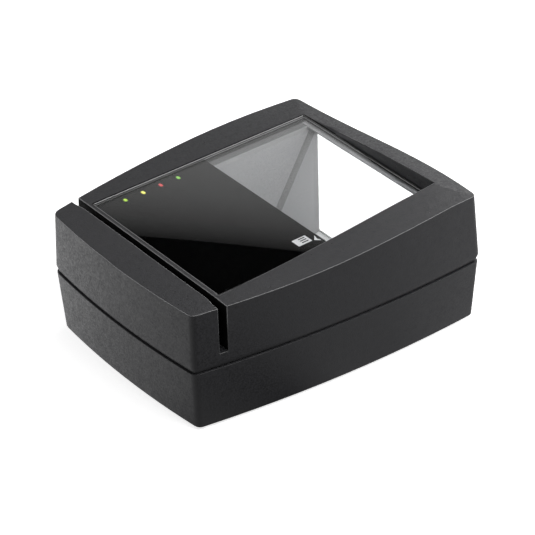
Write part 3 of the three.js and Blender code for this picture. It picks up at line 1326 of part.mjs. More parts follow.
add("main_board", mainBoard(), BOARD_GREEN);
add("usb_inlet", usbInlet(), STEEL);
add("power_inlet", powerInlet(), BLACK);
add("slot_wear_strip", slotWearStrip(), STEEL);
add("read_head", readHead(), STEEL);
add("head_arm", headArm(), STEEL);
add("head_bracket", headBracket(), STEEL);
add("pivot_pin", pivotPin(), STEEL);
add("torsion_spring", torsionSpring(), STEEL);
screwPlaces.forEach((place, i) => add(`case_screw_${i + 1}`, caseScrew(place), STEEL));
flangeScrewPlaces.forEach(([x, y], i) => {
  const at = [x, y, CHAMBER_TOP_Z - FLANGE_THICKNESS - SEAT_GAP];
  add(`chamber_screw_${i + 1}`, smallScrew(at, [0, 0, 1], FLANGE_THICKNESS + DECK_THICKNESS / 2), STEEL);
});
bracketScrewPlaces.forEach(([x, y], i) => {
  const at = [x, y, DECK_BOTTOM_Z - BRACKET_SHEET - 2 * SEAT_GAP];
  add(`bracket_screw_${i + 1}`, smallScrew(at, [0, 0, 1], BRACKET_SHEET + DECK_THICKNESS / 2), STEEL);
});
headScrewPlaces.forEach(([y, z], i) => {
  const at = [STRIP_WALL_X - BRACKET_PLATE - 2 * SEAT_GAP, y, z];
  add(`head_screw_${i + 1}`, smallScrew(at, [1, 0, 0], BRACKET_PLATE + SLOT_WALL), STEEL);
});
cameraPosts().forEach(([y, z], i) => {
  const at = [CAMERA_BOARD_X + BOARD_THICKNESS + SEAT_GAP, y, z];
  add(`camera_screw_${i + 1}`, smallScrew(at, [-1, 0, 0], BOARD_THICKNESS + SMALL_SCREW_GRIP), STEEL);
});
mainPostPlaces.forEach(([x, y], i) => {
  const at = [x, y, BOARD_TOP_Z + SEAT_GAP];
  add(`board_screw_${i + 1}`, smallScrew(at, [0, 0, -1], BOARD_THICKNESS + SMALL_SCREW_GRIP), STEEL);
});
statusPosts.forEach(([x, y], i) => {
  const at = [x, y, STATUS_BOARD_TOP_Z - BOARD_THICKNESS - SEAT_GAP];
  add(`status_screw_${i + 1}`, smallScrew(at, [0, 0, 1], BOARD_THICKNESS + SMALL_SCREW_GRIP), STEEL);
});
footPlaces.forEach((place, i) => add(`foot_${i + 1}`, foot(place), plastic(0x1a1a1a)));

export default reader;
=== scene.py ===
"""An identity document reader on a white table: the finish of its case, window and inside."""

import math

import bmesh
import bpy
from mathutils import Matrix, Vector


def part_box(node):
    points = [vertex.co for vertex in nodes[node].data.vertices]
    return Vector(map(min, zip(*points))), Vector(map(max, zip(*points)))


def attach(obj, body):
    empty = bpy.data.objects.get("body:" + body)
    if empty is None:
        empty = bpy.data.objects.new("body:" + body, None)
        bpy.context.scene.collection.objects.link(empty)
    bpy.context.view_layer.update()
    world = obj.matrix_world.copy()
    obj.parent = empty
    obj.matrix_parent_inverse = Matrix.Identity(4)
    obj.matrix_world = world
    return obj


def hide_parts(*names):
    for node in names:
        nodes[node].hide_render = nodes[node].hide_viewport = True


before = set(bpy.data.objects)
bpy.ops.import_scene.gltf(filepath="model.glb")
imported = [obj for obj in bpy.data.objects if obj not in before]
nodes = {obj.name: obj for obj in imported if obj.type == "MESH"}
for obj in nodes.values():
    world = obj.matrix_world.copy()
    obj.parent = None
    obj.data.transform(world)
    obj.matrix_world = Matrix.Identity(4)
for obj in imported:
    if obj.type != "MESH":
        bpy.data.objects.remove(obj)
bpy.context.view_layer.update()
scene = bpy.context.scene
MM = 0.001

# Colours, as linear values
CHARCOAL = (0.0238, 0.0238, 0.0266)
# Painted highlight along the case's edges
EDGE_HIGHLIGHT_GREY = (0.24, 0.24, 0.245)
# Painted shade for the swipe slot's walls
SLOT_PAINTED_SHADE = (0.004, 0.004, 0.004)
CHAMBER_GREY = (0.27, 0.27, 0.278)
GASKET_RIM = (0.46, 0.46, 0.47)
GASKET_LIP = (0.34, 0.34, 0.345)
GASKET_REAR_LIP = (0.34, 0.34, 0.347)
# Painted light: the gasket's lip where it faces right
GASKET_LEFT_LIP_PAINTED_LIGHT = (0.95, 0.95, 0.95)
# Painted shade: the gasket's upward faces
GASKET_TOP_PAINTED_SHADE = (0.12, 0.12, 0.123)
# The painted shadow of the stop on the gasket's right edge runs from the first to the second; the
# second also darkens the foam's pores and gives the painted shade in the case's window gap
GASKET_PAINTED_SHADOW_START = (0.30, 0.30, 0.31)
GASKET_PORE_AND_SHADE_BLACK = (0.004, 0.004, 0.004)
# Painted shadow over the gap between the mirror and the chamber's walls
GAP_SHADOW_GREY = (0.17, 0.17, 0.175)
PRINT_BLACK = (0.0023, 0.0023, 0.0024)
PRINT_RIM = (0.035, 0.035, 0.036)
FILM_BACK = (0.90, 0.90, 0.91)
PICTOGRAM_WHITE = (0.66, 0.66, 0.68)
# The pane's black sides, whose black is also the painted shade on its top chamfer beside the stop;
# then its top chamfer's near white at the rear, partly a painted highlight, and the darker painted
# shade on that chamfer at the left
BLACK_EDGE_AND_SHADE = (0.006, 0.006, 0.006)
GROUND_CHAMFER_HIGHLIGHT = (0.95, 0.95, 0.96)
LEFT_CHAMFER_SHADE_GREY = (0.22, 0.22, 0.224)
LOWER_CHAMFER = (0.28, 0.28, 0.286)
LOWER_CHAMFER_PRINTED = (0.06, 0.06, 0.06)
GLASS_TINTS = ((0.98, 0.987, 0.984), (0.99, 0.993, 0.99))
GLASS_SHADOW = (0.9, 0.91, 0.905)
LENS_COATS = ((0.01, 0.012, 0.03), (0.02, 0.01, 0.035))
MIRROR_TINTS = ((0.95, 0.955, 0.96), (0.97, 0.97, 0.975))
SOLDER_MASKS = ((0.008, 0.075, 0.03), (0.012, 0.10, 0.042))
MASKED_COPPER = (0.03, 0.20, 0.085)
DIFFUSER_WHITE = (0.7, 0.7, 0.69)
DEEP_BLACK = (0.012, 0.012, 0.013)
RUBBER_BLACK = (0.012, 0.012, 0.012)
ZINC = (0.56, 0.56, 0.55)
NICKEL = (0.62, 0.60, 0.56)
LIME = (0.38, 0.58, 0.05)
YELLOW = (0.88, 0.85, 0.20)
RED = (0.60, 0.085, 0.085)
GREEN = (0.27, 0.56, 0.09)
TABLE_PAINTS = ((0.80, 0.80, 0.80), (0.82, 0.82, 0.82))


# Nodes

# The factor and the two colours among a colour mix's sockets, and its colour output
MIX_SOCKETS = (0, 6, 7)
MIX_RESULT = 2
NOISE_ROUGHNESS = 0.55


class Nodes:
    """An empty node tree, with short ways to add a node and to link or set its sockets."""

    def __init__(self, tree):
        self.tree = tree
        self.tree.nodes.clear()

    def add(self, kind, settings=None, **inputs):
        """A new node. Inputs go by their sockets' names, with _ for a space."""
        node = self.tree.nodes.new(kind)
        for key, value in (settings or {}).items():
            setattr(node, key, value)
        for key, value in inputs.items():
            self.set(node, key.replace("_", " "), value)
        return node

    def set(self, node, socket, value):
        """Links a socket to another, or gives it a value of its own."""
        target = node.inputs[socket]
        if isinstance(value, bpy.types.NodeSocket):
            self.tree.links.new(value, target)
        elif target.type == "RGBA":
            target.default_value = (*value, 1)
        else:
            target.default_value = value

    def with_inputs(self, kind, settings, *values):
        """A new node whose first inputs have no useful names."""
        node = self.add(kind, settings)
        for index, value in enumerate(values):
            self.set(node, index, value)
        return node

    def math(self, operation, *values):
        return self.with_inputs("ShaderNodeMath", {"operation": operation}, *values).outputs[0]

    def vector_math(self, operation, first, second, output):
        settings = {"operation": operation}
        return self.with_inputs("ShaderNodeVectorMath", settings, first, second).outputs[output]

    def ramp(self, value, start, end, low=0, high=1):
        """A value from start..end laid over low..high."""
        node = self.add(
            "ShaderNodeMapRange", Value=value, From_Min=start, From_Max=end, To_Min=low, To_Max=high
        )
        return node.outputs["Result"]

    def if_ray(self, ray, first, second):
        """The second shader for one kind of ray and the first for all others."""
        seen = self.add("ShaderNodeLightPath").outputs[ray]
        return self.with_inputs("ShaderNodeMixShader", None, seen, first, second).outputs[0]


class Shader(Nodes):
    """A material's nodes, laid out in the object's own coordinates."""

    def __init__(self, name):
        self.material = bpy.data.materials.new(name)
        self.material.use_nodes = True
        super().__init__(self.material.node_tree)
        self.coordinates = self.add("ShaderNodeTexCoord").outputs["Object"]

    def noise(self, size, detail=3, stretch=(1, 1, 1)):
        """Noise whose spots are about size metres across."""
        scaled = self.add("ShaderNodeMapping", Vector=self.coordinates, Scale=stretch)
        noise = self.add(
            "ShaderNodeTexNoise",
            Vector=scaled.outputs[0],
            Scale=1 / size,
            Detail=detail,
            Roughness=NOISE_ROUGHNESS,
        )
        return noise.outputs["Fac"]

    def cells(self, size):
        """Round cells about size metres across, for a moulded grain."""
        voronoi = self.add("ShaderNodeTexVoronoi", Vector=self.coordinates, Scale=1 / size)
        return voronoi.outputs["Distance"]

    def place(self):
        """Where a point lies, as outputs X, Y and Z."""
        return self.add("ShaderNodeSeparateXYZ", Vector=self.coordinates).outputs

    def facing(self):
        """Which way the surface faces, as outputs X, Y and Z."""
        normal = self.add("ShaderNodeNewGeometry").outputs["Normal"]
        return self.add("ShaderNodeSeparateXYZ", Vector=normal).outputs

    def spread(self, value, low, high):
        """A value from 0..1 laid over low..high."""
        return self.ramp(value, 0, 1, low, high)

    def smooth(self, value, start, end):
        """0 before start and 1 after end, with a soft step between them."""
        node = self.add(
            "ShaderNodeMapRange",
            {"interpolation_type": "SMOOTHSTEP"},
            Value=value,
            From_Min=start,
            From_Max=end,
        )
        return node.outputs["Result"]

    def within(self, value, low, high):
        """1 between low and high, and 0 elsewhere."""
        return self.math("COMPARE", value, (low + high) / 2, (high - low) / 2)

    def both(self, first, second):
        return self.math("MULTIPLY", first, second)

    def between(self, factor, first, second):
        """A colour between two others."""
        node = self.add("ShaderNodeMix", {"data_type": "RGBA"})
        for socket, value in zip(MIX_SOCKETS, (factor, first, second)):
            self.set(node, socket, value)
        return node.outputs[MIX_RESULT]

    def bump(self, height, depth):
        """A bump whose full height is depth metres."""
        return self.add("ShaderNodeBump", Height=height, Distance=depth).outputs[0]

    def principled(self, **inputs):
        return self.add("ShaderNodeBsdfPrincipled", **inputs).outputs[0]

    def finish(self, shader):
        self.add("ShaderNodeOutputMaterial", Surface=shader)
        return self.material


def shade(colour, factor):
    """The same colour, lighter or darker."""
    return tuple(channel * factor for channel in colour)


# Materials

# A moulded surface: its duller patches, the sizes of its other spots as multiples of its grain, and
# how much its specks change it
PATCH_SIZE = 30 * MM
PATCH_ROUGHNESS = (-0.015, 0.025)
BLOTCH_GRAINS = 6
SPECK_GRAINS = 1.8
PIT_GRAINS = 3
SPECK_ROUGHNESS = 2.8
SPECK_CONTRAST = (-1.4, 2.4)
SPECK_COLOUR = 1.5


def moulded_plastic(
    name, colour, roughness=0.5, grain=0.7 * MM, depth=0.04 * MM, mottle=0.16, level=0.5
):
    """Moulded plastic with a fine eroded grain, faint mottling and patches of duller finish."""
    s = Shader(name)
    patches = s.noise(PATCH_SIZE, detail=2)
    blotches = s.noise(grain * BLOTCH_GRAINS)
    specks = s.noise(grain * SPECK_GRAINS, detail=2)
    uneven = s.math(
        "ADD",
        s.spread(specks, -SPECK_ROUGHNESS * mottle, SPECK_ROUGHNESS * mottle),
        s.spread(blotches, -mottle, mottle),
    )
    low, high = (roughness + change for change in PATCH_ROUGHNESS)
    dark, light = (shade(colour, 1 + side * SPECK_COLOUR * mottle) for side in (-1, 1))
    return s.finish(s.principled(
        Base_Color=s.between(s.spread(specks, *SPECK_CONTRAST), dark, light),
        Roughness=s.math("ADD", s.spread(patches, low, high), uneven),
        Specular_IOR_Level=level,
        Normal=s.bump(s.math("ADD", s.cells(grain), s.noise(grain * PIT_GRAINS)), depth),
    ))


LINE_SIZE = 0.9 * MM
LINE_STRETCH = (1, 1, 14)
LINE_DEPTH = 0.01 * MM
LINE_ROUGHNESS = (-0.08, 0.12)
SPOT_SIZE = 6 * MM
SPOT_SHADE = 0.82


def metal(name, colour, roughness=0.3):
    """Metal with fine drawn lines along one direction and dull spots."""
    s = Shader(name)
    lines = s.noise(LINE_SIZE, detail=4, stretch=LINE_STRETCH)
    low, high = (roughness + change for change in LINE_ROUGHNESS)
    return s.finish(s.principled(
        Base_Color=s.between(s.noise(SPOT_SIZE), shade(colour, SPOT_SHADE), colour),
        Metallic=1.0,
        Roughness=s.spread(lines, low, high),
        Normal=s.bump(lines, LINE_DEPTH),
    ))


TRACK_WIDTH = 0.4 * MM
TRACK_FIELD = (9 * MM, 3.5 * MM)
TRACK_DEPTH = 0.03 * MM
BOARD_SHADES = ((0, 0, 0), (0.35, 0.35, 0.35))
WEAVE_SIZE = 0.5 * MM
BOARD_ROUGHNESS = (0.28, 0.4)


def circuit_board(name):
    """Green solder mask over copper tracks, with a fine weave below."""
    s = Shader(name)
    bricks = s.add(
        "ShaderNodeTexBrick",
        Vector=s.coordinates,
        Color1=BOARD_SHADES[0],
        Color2=BOARD_SHADES[1],
        Mortar=(1, 1, 1),
        Scale=1.0,
        Mortar_Size=TRACK_WIDTH,
        Brick_Width=TRACK_FIELD[0],
        Row_Height=TRACK_FIELD[1],
    )
    tracks = s.add("ShaderNodeSeparateColor", Color=bricks.outputs["Color"]).outputs[0]
    weave = s.noise(WEAVE_SIZE, detail=2)
    return s.finish(s.principled(
        Base_Color=s.between(tracks, s.between(weave, *SOLDER_MASKS), MASKED_COPPER),
        Roughness=s.spread(weave, *BOARD_ROUGHNESS),
        Normal=s.bump(tracks, TRACK_DEPTH),
    ))


GLASS_IOR = 1.5
HAZE_SIZE = 50 * MM
HAZE_STRETCH = (1, 3, 1)


def window_glass(name):
    """Clear glass, very slightly uneven in tint. Lamps shine through it."""
    s = Shader(name)
    haze = s.noise(HAZE_SIZE, detail=4, stretch=HAZE_STRETCH)
    glass = s.principled(
        Base_Color=s.between(haze, *GLASS_TINTS),
        Roughness=0.0,
        IOR=GLASS_IOR,
        Transmission_Weight=1.0,
    )
    clear = s.add("ShaderNodeBsdfTransparent", Color=GLASS_SHADOW).outputs[0]
    return s.finish(s.if_ray("Is Shadow Ray", glass, clear))


COAT_SIZE = 8 * MM
LENS_ROUGHNESS = 0.05


def lens(name):
    """A coated lens."""
    s = Shader(name)
    return s.finish(s.principled(
        Base_Color=s.between(s.noise(COAT_SIZE, detail=1), *LENS_COATS),
        Roughness=LENS_ROUGHNESS,
        Coat_Weight=1.0,
    ))


DUST_SIZE = 12 * MM
DUST_ROUGHNESS = 0.03


def mirror(name):
    """A first-surface mirror with a breath of dust."""
    s = Shader(name)
    dust = s.noise(DUST_SIZE, detail=5)
    return s.finish(s.principled(
        Base_Color=s.between(dust, *MIRROR_TINTS),
        Metallic=1.0,
        Roughness=s.spread(dust, 0.0, DUST_ROUGHNESS),
    ))


# The clear part of the window lies to the right of the first, and its rear rim behind the second
CLEAR_PART_LEFT = 6.7 * MM
CLEAR_PART_REAR = 63.1 * MM
COVER_SIZE = 4 * MM
INK_SHADE = 0.7
RIM_SHADE = 0.9
PRINT_ROUGHNESS = (0.6, 0.7)
# A face's normal is longer than this along the axis that it faces
MOSTLY = 0.5


def printed_black(name):
    """Black print on a white film: matte and uneven, greyer on the clear part's rear rim."""
    s = Shader(name)
    cover = s.noise(COVER_SIZE)
    place = s.place()
    on_rim = s.both(
        s.math("GREATER_THAN", place["X"], CLEAR_PART_LEFT),
        s.math("GREATER_THAN", place["Y"], CLEAR_PART_REAR),
    )
    ink = s.between(cover, shade(PRINT_BLACK, INK_SHADE), PRINT_BLACK)
    rim = s.between(cover, shade(PRINT_RIM, RIM_SHADE), PRINT_RIM)
    underside = s.math("LESS_THAN", s.facing()["Z"], -MOSTLY)
    return s.finish(s.principled(
        Base_Color=s.between(underside, s.between(on_rim, ink, rim), FILM_BACK),
        Roughness=s.spread(cover, *PRINT_ROUGHNESS),
        Specular_IOR_Level=0.0,
    ))


# Shares of a status light's width out to its bright core's edge and its darker rim
LIGHT_CORE = 0.22
LIGHT_RIM = 0.52
LIGHT_MIDDLE = (0.5, 0.5, 0)
LIGHT_FLATTENED = (1, 1, 0)
LIGHT_HAZE_SIZE = 1.2 * MM
LIGHT_ROUGHNESS = 0.3
# The core's two shades, and the power and shade that deepen the rim's colour
CORE_SHADES = (1.1, 1.35)
RIM_POWER = 1.5
RIM_STRENGTH = 0.75


def lit_pipe(name, colour, strength):
    """A status light: tinted clear plastic that glows most in its middle."""
    s = Shader(name)
    haze = s.noise(LIGHT_HAZE_SIZE, detail=2)
    share = s.add("ShaderNodeTexCoord").outputs["Generated"]
    flat = s.vector_math("MULTIPLY", share, LIGHT_FLATTENED, "Vector")
    from_middle = s.vector_math("DISTANCE", flat, LIGHT_MIDDLE, "Value")
    core = s.between(haze, *(shade(colour, factor) for factor in CORE_SHADES))
    rim = tuple(channel ** RIM_POWER * RIM_STRENGTH for channel in colour)
    glow = s.between(s.smooth(from_middle, LIGHT_CORE, LIGHT_RIM), core, rim)
    return s.finish(s.principled(
        Base_Color=glow,
        Roughness=LIGHT_ROUGHNESS,
        Emission_Color=glow,
        Emission_Strength=strength,
    ))


INK_MESH = 0.6 * MM
INK_MESH_SHADE = 0.9
INK_ROUGHNESS = 0.6


def screen_ink(name, colour):
    """Screen printed ink with a faint mesh in it."""
    s = Shader(name)
    mesh = s.noise(INK_MESH, detail=1)
    return s.finish(s.principled(
        Base_Color=s.between(mesh, shade(colour, INK_MESH_SHADE), colour),
        Roughness=INK_ROUGHNESS,
    ))


# The gasket's lip between its foot and its top, and the band at its right where a painted shadow
# stands for the stop's shade
LIP_FOOT = 84.2 * MM
LIP_TOP = 86.8 * MM
PAINTED_SHADOW_BAND = 4.9 * MM
FOAM_SIZE = 0.8 * MM
FOAM_DEPTH = 0.03 * MM
FOAM_PORES = 0.12
FOAM_ROUGHNESS = 0.8
FOAM_LEVEL = 0.2


def window_gasket(name):
    """Light foam with dark pores. Its lip darkens upwards; it is near white as painted light where
    it faces right, and darker as painted shade where it faces up. A painted shadow darkens its
    right edge, where the stop keeps light off it.
    """
    s = Shader(name)
    foam = s.noise(FOAM_SIZE)
    place = s.place()
    facing = s.facing()
    right_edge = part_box("window_gasket")[1].x
    lip = s.between(s.smooth(place["Z"], LIP_FOOT, LIP_TOP), GASKET_RIM, GASKET_LIP)
    lip = s.between(s.math("LESS_THAN", facing["Y"], -MOSTLY), lip, GASKET_REAR_LIP)
    # Painted light: near white where the lip faces right
    lip = s.between(s.math("GREATER_THAN", facing["X"], MOSTLY), lip, GASKET_LEFT_LIP_PAINTED_LIGHT)
    # Painted shade: darker where the foam faces up
    tone = s.between(s.math("GREATER_THAN", facing["Z"], MOSTLY), lip, GASKET_TOP_PAINTED_SHADE)
    # Painted shadow of the stop: across the band at the right edge, from grey to black
    depth = s.smooth(place["X"], right_edge - PAINTED_SHADOW_BAND, right_edge)
    in_painted_shadow = s.math("GREATER_THAN", place["X"], right_edge - PAINTED_SHADOW_BAND)
    tone = s.between(in_painted_shadow, tone, s.between(depth, GASKET_PAINTED_SHADOW_START, GASKET_PORE_AND_SHADE_BLACK))
    return s.finish(s.principled(
        Base_Color=s.between(s.spread(foam, 0.0, FOAM_PORES), tone, GASKET_PORE_AND_SHADE_BLACK),
        Roughness=FOAM_ROUGHNESS,
        Specular_IOR_Level=FOAM_LEVEL,
        Normal=s.bump(foam, FOAM_DEPTH),
    ))


SCRATCH_SIZE = 0.6 * MM
SCRATCH_STRETCH = (1, 1, 6)
SCRATCH_SHADE = 0.8
SCRATCH_ROUGHNESS = (0.45, 0.65)


def ground_edge(name, colour, beside_print=None):
    """The ground edge of a glass plate. It can have another colour beside the black print."""
    s = Shader(name)
    scratches = s.noise(SCRATCH_SIZE, detail=4, stretch=SCRATCH_STRETCH)
    tone = s.between(scratches, shade(colour, SCRATCH_SHADE), colour)
    if beside_print:
        in_clear_part = s.math("GREATER_THAN", s.place()["X"], CLEAR_PART_LEFT)
        tone = s.between(in_clear_part, beside_print, tone)
    return s.finish(s.principled(
        Base_Color=tone,
        Roughness=s.spread(scratches, *SCRATCH_ROUGHNESS),
    ))


# The gap round the glass, in which the case's edges get a painted shade. In front, where the stop
# stands, it starts two such widths behind the glass's edge
WINDOW_GAP = 1.5 * MM
GAP_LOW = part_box("window_glass")[0] + Vector((-1, 2, -1)) * WINDOW_GAP
GAP_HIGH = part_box("window_glass")[1] + Vector((1, 1, 1)) * WINDOW_GAP
# The painted edge highlight is left off the stop's edge over the window. Its facets start this far
# left of the glass's right edge, and the rounding between them this far left of the gap's. They
# face left by more than these
STOP_MARGIN = 2 * MM
STOP_FACET_SLOPE = -0.3
STOP_ROUNDING_SLOPE = -0.15
# Heights between which the painted highlight on the case's edges goes from faint to full
EDGE_HIGHLIGHT_HEIGHTS = (72 * MM, 86 * MM)
EDGE_HIGHLIGHT_SHADES = (0.75, 1.15)
EDGE_HIGHLIGHT_LOW_SHADE = 0.3
EDGE_ROUGHNESS = (0.31, 0.49)
EDGE_BUMP_DEPTH = 0.01 * MM
EDGE_NOISE_SIZE = 1.2 * MM
STREAK_SIZE = 20 * MM
GAP_SHADE = 0.7
GAP_ROUGHNESS = 0.5


def painted_edge_highlight(name):
    """A painted highlight on the case's edges, fainter lower down, with a painted shade in the
    window's gap and the plain case colour on the stop over the window.
    """
    s = Shader(name)
    edge_noise = s.noise(EDGE_NOISE_SIZE, detail=4)
    streaks = s.noise(STREAK_SIZE, detail=2)
    place = s.place()
    in_gap = s.both(
        s.both(
            s.math("GREATER_THAN", place["X"], GAP_LOW.x),
            s.within(place["Y"], GAP_LOW.y, GAP_HIGH.y),
        ),
        s.within(place["Z"], GAP_LOW.z, GAP_HIGH.z),
    )
    # The painted highlight: varied at random, fainter lower down, and left off the stop over the
    # window
    painted_light = s.between(edge_noise, *(shade(EDGE_HIGHLIGHT_GREY, factor) for factor in EDGE_HIGHLIGHT_SHADES))
    height = s.ramp(place["Z"], *EDGE_HIGHLIGHT_HEIGHTS)
    painted_light = s.between(height, shade(EDGE_HIGHLIGHT_GREY, EDGE_HIGHLIGHT_LOW_SHADE), painted_light)
    over_window = s.both(
        s.math("GREATER_THAN", place["X"], GAP_HIGH.x - STOP_MARGIN),
        s.math("LESS_THAN", s.facing()["X"], STOP_ROUNDING_SLOPE),
    )
    painted_light = s.between(over_window, painted_light, CHARCOAL)
    # Painted shade on the case's edges in the window's gap
    inner = s.between(edge_noise, shade(GASKET_PORE_AND_SHADE_BLACK, GAP_SHADE), GASKET_PORE_AND_SHADE_BLACK)
    return s.finish(s.principled(
        Base_Color=s.between(in_gap, painted_light, inner),
        Roughness=s.math(
            "ADD",
            s.math("MULTIPLY", in_gap, GAP_ROUGHNESS),
            s.spread(s.math("ADD", edge_noise, streaks), *EDGE_ROUGHNESS),
        ),
        Normal=s.bump(edge_noise, EDGE_BUMP_DEPTH),
    ))


# A finish for each of the record's material slots, and two more for pieces of this script
FINISHES = {
    "case_charcoal": moulded_plastic("charcoal plastic", CHARCOAL),
    "window_glass": window_glass("window glass"),
    "mask_black": printed_black("black print"),
    "gasket_grey": window_gasket("grey gasket"),
    "light_lime": lit_pipe("lime light", LIME, strength=0.17),
    "light_yellow": lit_pipe("yellow light", YELLOW, strength=0.2),
    "light_red": lit_pipe("red light", RED, strength=0.17),
    "light_green": lit_pipe("green light", GREEN, strength=0.17),
    "board_green": circuit_board("circuit board"),
    "chamber_grey": moulded_plastic(
        "chamber plastic", CHAMBER_GREY, roughness=0.6, mottle=0.05
    ),
    "mirror": mirror("mirror coating"),
    "bar_white": moulded_plastic(
        "diffuser plastic", DIFFUSER_WHITE, roughness=0.4, mottle=0.05
    ),
    "steel": metal("zinc plated steel", ZINC),
    "black_plastic": moulded_plastic("black plastic", DEEP_BLACK, roughness=0.4),
    "lens_glass": lens("coated lens"),
    "nickel": metal("nickel", NICKEL, roughness=0.22),
    "foot_rubber": moulded_plastic(
        "rubber", RUBBER_BLACK, roughness=0.75, grain=0.4 * MM, mottle=0.2, level=0.3
    ),
}
# Painted shade on the swipe slot's walls
SLOT_WALL_SHADE = moulded_plastic("slot wall painted shade", SLOT_PAINTED_SHADE, roughness=0.8, mottle=0.1, level=0.1)
# A painted shadow, as a dark strip, over the gaps beside the mirror
GAP_SHADOW_STRIP = moulded_plastic(
    "painted gap shadow", GAP_SHADOW_GREY, roughness=0.85, grain=0.5 * MM, mottle=0.1, level=0.2
)

for node in nodes.values():
    for material_slot in node.material_slots:
        material_slot.material = FINISHES[material_slot.material.name.split(".")[0]]


# The case: the CAD halves with rounded edges. Corners closer than the first are one point, faces
# turned less than the second from each other are one face, and edges over the third are rounded
WELD_DISTANCE = 0.02 * MM
FLAT_ANGLE = math.radians(0.3)
SHARP_ANGLE = math.radians(50)
EDGE_WIDTH = 0.4 * MM
EDGE_SEGMENTS = 2
# Facets narrower than this, and sloped between these, belong to a rounding that faces up or down
# and take the edge finish, on the top shell a painted highlight
ROUNDING_WIDTH = 0.6 * MM
ROUNDING_SLOPE = (0.40, 0.90)
STOP_FACET_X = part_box("window_glass")[1].x - STOP_MARGIN
# The swipe slot's walls, which take a painted shade: between the sides, above the foot, and upright
SLOT_MARGIN = 2 * MM
SLOT_SIDES = tuple(
    corner.x + side * SLOT_MARGIN for corner, side in zip(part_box("slot_wear_strip"), (-1, 1))
)
SLOT_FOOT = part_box("slot_wear_strip")[0].z
UPRIGHT = 0.85
# Places of the case's finishes in its mesh
PLAIN, EDGE, SLOT = range(3)


def case_finish(face):
    """Which of the case's finishes a face takes."""
    middle = face.calc_center_median()
    in_slot = SLOT_SIDES[0] < middle.x < SLOT_SIDES[1] and middle.z > SLOT_FOOT
    if in_slot and abs(face.normal.x) > UPRIGHT:
        return SLOT
    width = 2 * face.calc_area() / face.calc_perimeter()
    sloped = ROUNDING_SLOPE[0] < abs(face.normal.z) < ROUNDING_SLOPE[1]
    over_window = face.normal.x < STOP_FACET_SLOPE and middle.x > STOP_FACET_X
    return EDGE if width < ROUNDING_WIDTH and sloped and not over_window else PLAIN


def soften(name, edge_finish):
    """Replaces a case half by a copy with its sharp edges rounded and finished as moulded. Its
    roundings take the edge finish, on the top shell a painted highlight, and its slot's walls a
    painted shade.
    """
    mesh = nodes[name].data.copy()
    mesh.name = name + "_moulded"
    form = bmesh.new()
    form.from_mesh(mesh)
    bmesh.ops.remove_doubles(form, verts=form.verts, dist=WELD_DISTANCE)
    bmesh.ops.dissolve_limit(
        form,
        angle_limit=FLAT_ANGLE,
        verts=form.verts,
        edges=form.edges,
        use_dissolve_boundaries=False,
    )
    form.normal_update()
    for face in form.faces:
        face.smooth = True
        face.material_index = case_finish(face)
    mesh.materials.clear()
    for finish in (FINISHES["case_charcoal"], edge_finish, SLOT_WALL_SHADE):
        mesh.materials.append(finish)
    form.to_mesh(mesh)
    form.free()
    piece = bpy.data.objects.new(name + "_moulded", mesh)
    scene.collection.objects.link(piece)
    edges = piece.modifiers.new("edges", "BEVEL")
    edges.width = EDGE_WIDTH
    edges.segments = EDGE_SEGMENTS
    edges.limit_method = "ANGLE"
    edges.angle_limit = SHARP_ANGLE
    edges.use_clamp_overlap = False
    edges.material = EDGE
    edges.miter_outer = "MITER_ARC"
    piece.modifiers.new("normals", "WEIGHTED_NORMAL").keep_sharp = True
    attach(piece, "case")
    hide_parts(name)


# The top shell's edges take a painted highlight
soften("top_shell", painted_edge_highlight("painted edge highlight"))
soften("base_shell", FINISHES["case_charcoal"])


# Pieces made for looks

def make_piece(name, form, finishes, slot_name, *replaced):
    """A mesh built in a bmesh, as a piece that rides on the case."""
    bmesh.ops.recalc_face_normals(form, faces=form.faces)
    mesh = bpy.data.meshes.new(name)
    form.to_mesh(mesh)
    form.free()
    for finish in finishes:
        mesh.materials.append(finish)
    piece = bpy.data.objects.new(name, mesh)
    scene.collection.objects.link(piece)
    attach(piece, "case")
    if replaced:
        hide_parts(*replaced)


def bridge(form, below, above, finish=0):
    """Faces between two rings of points of equal count."""
    for i in range(len(below)):
        j = (i + 1) % len(below)
        face = form.faces.new((below[i], below[j], above[j], above[i]))
        face.material_index = finish


# The window: a clear pane with ground edges, black at its sides, and a fine chamfer along its top
# and bottom. The top chamfer is near-white ground glass at the rear, whitened further as a painted
# highlight, with a darker painted shade at the left and black as painted shade beside the stop

PANE_CORNER = 1.2 * MM
PANE_CORNER_STEPS = 6
PANE_ARRIS = 0.5 * MM
PANE_ARRIS_DROP = 0.08 * MM
PANE_LOWER_ARRIS = 0.35 * MM
PANE_CLEARANCE = 0.01 * MM
# Places in the pane's mesh of its finishes after the glass itself
BLACK_AND_SHADED, CHAMFER_HIGHLIGHT, LOWER, LEFT_CHAMFER_SHADE = range(1, 5)


def rounded_rectangle(low, high, radius):
    """Points round a rectangle with round corners, anticlockwise."""
    middle = (low + high) / 2
    corners = ((high.x, high.y), (low.x, high.y), (low.x, low.y), (high.x, low.y))
    points = []
    for quarter, (x, y) in enumerate(corners):
        centre_x = x - math.copysign(radius, x - middle.x)
        centre_y = y - math.copysign(radius, y - middle.y)
        for i in range(PANE_CORNER_STEPS + 1):
            turn = math.pi / 2 * (quarter + i / PANE_CORNER_STEPS)
            points.append((centre_x + radius * math.cos(turn), centre_y + radius * math.sin(turn)))
    return points


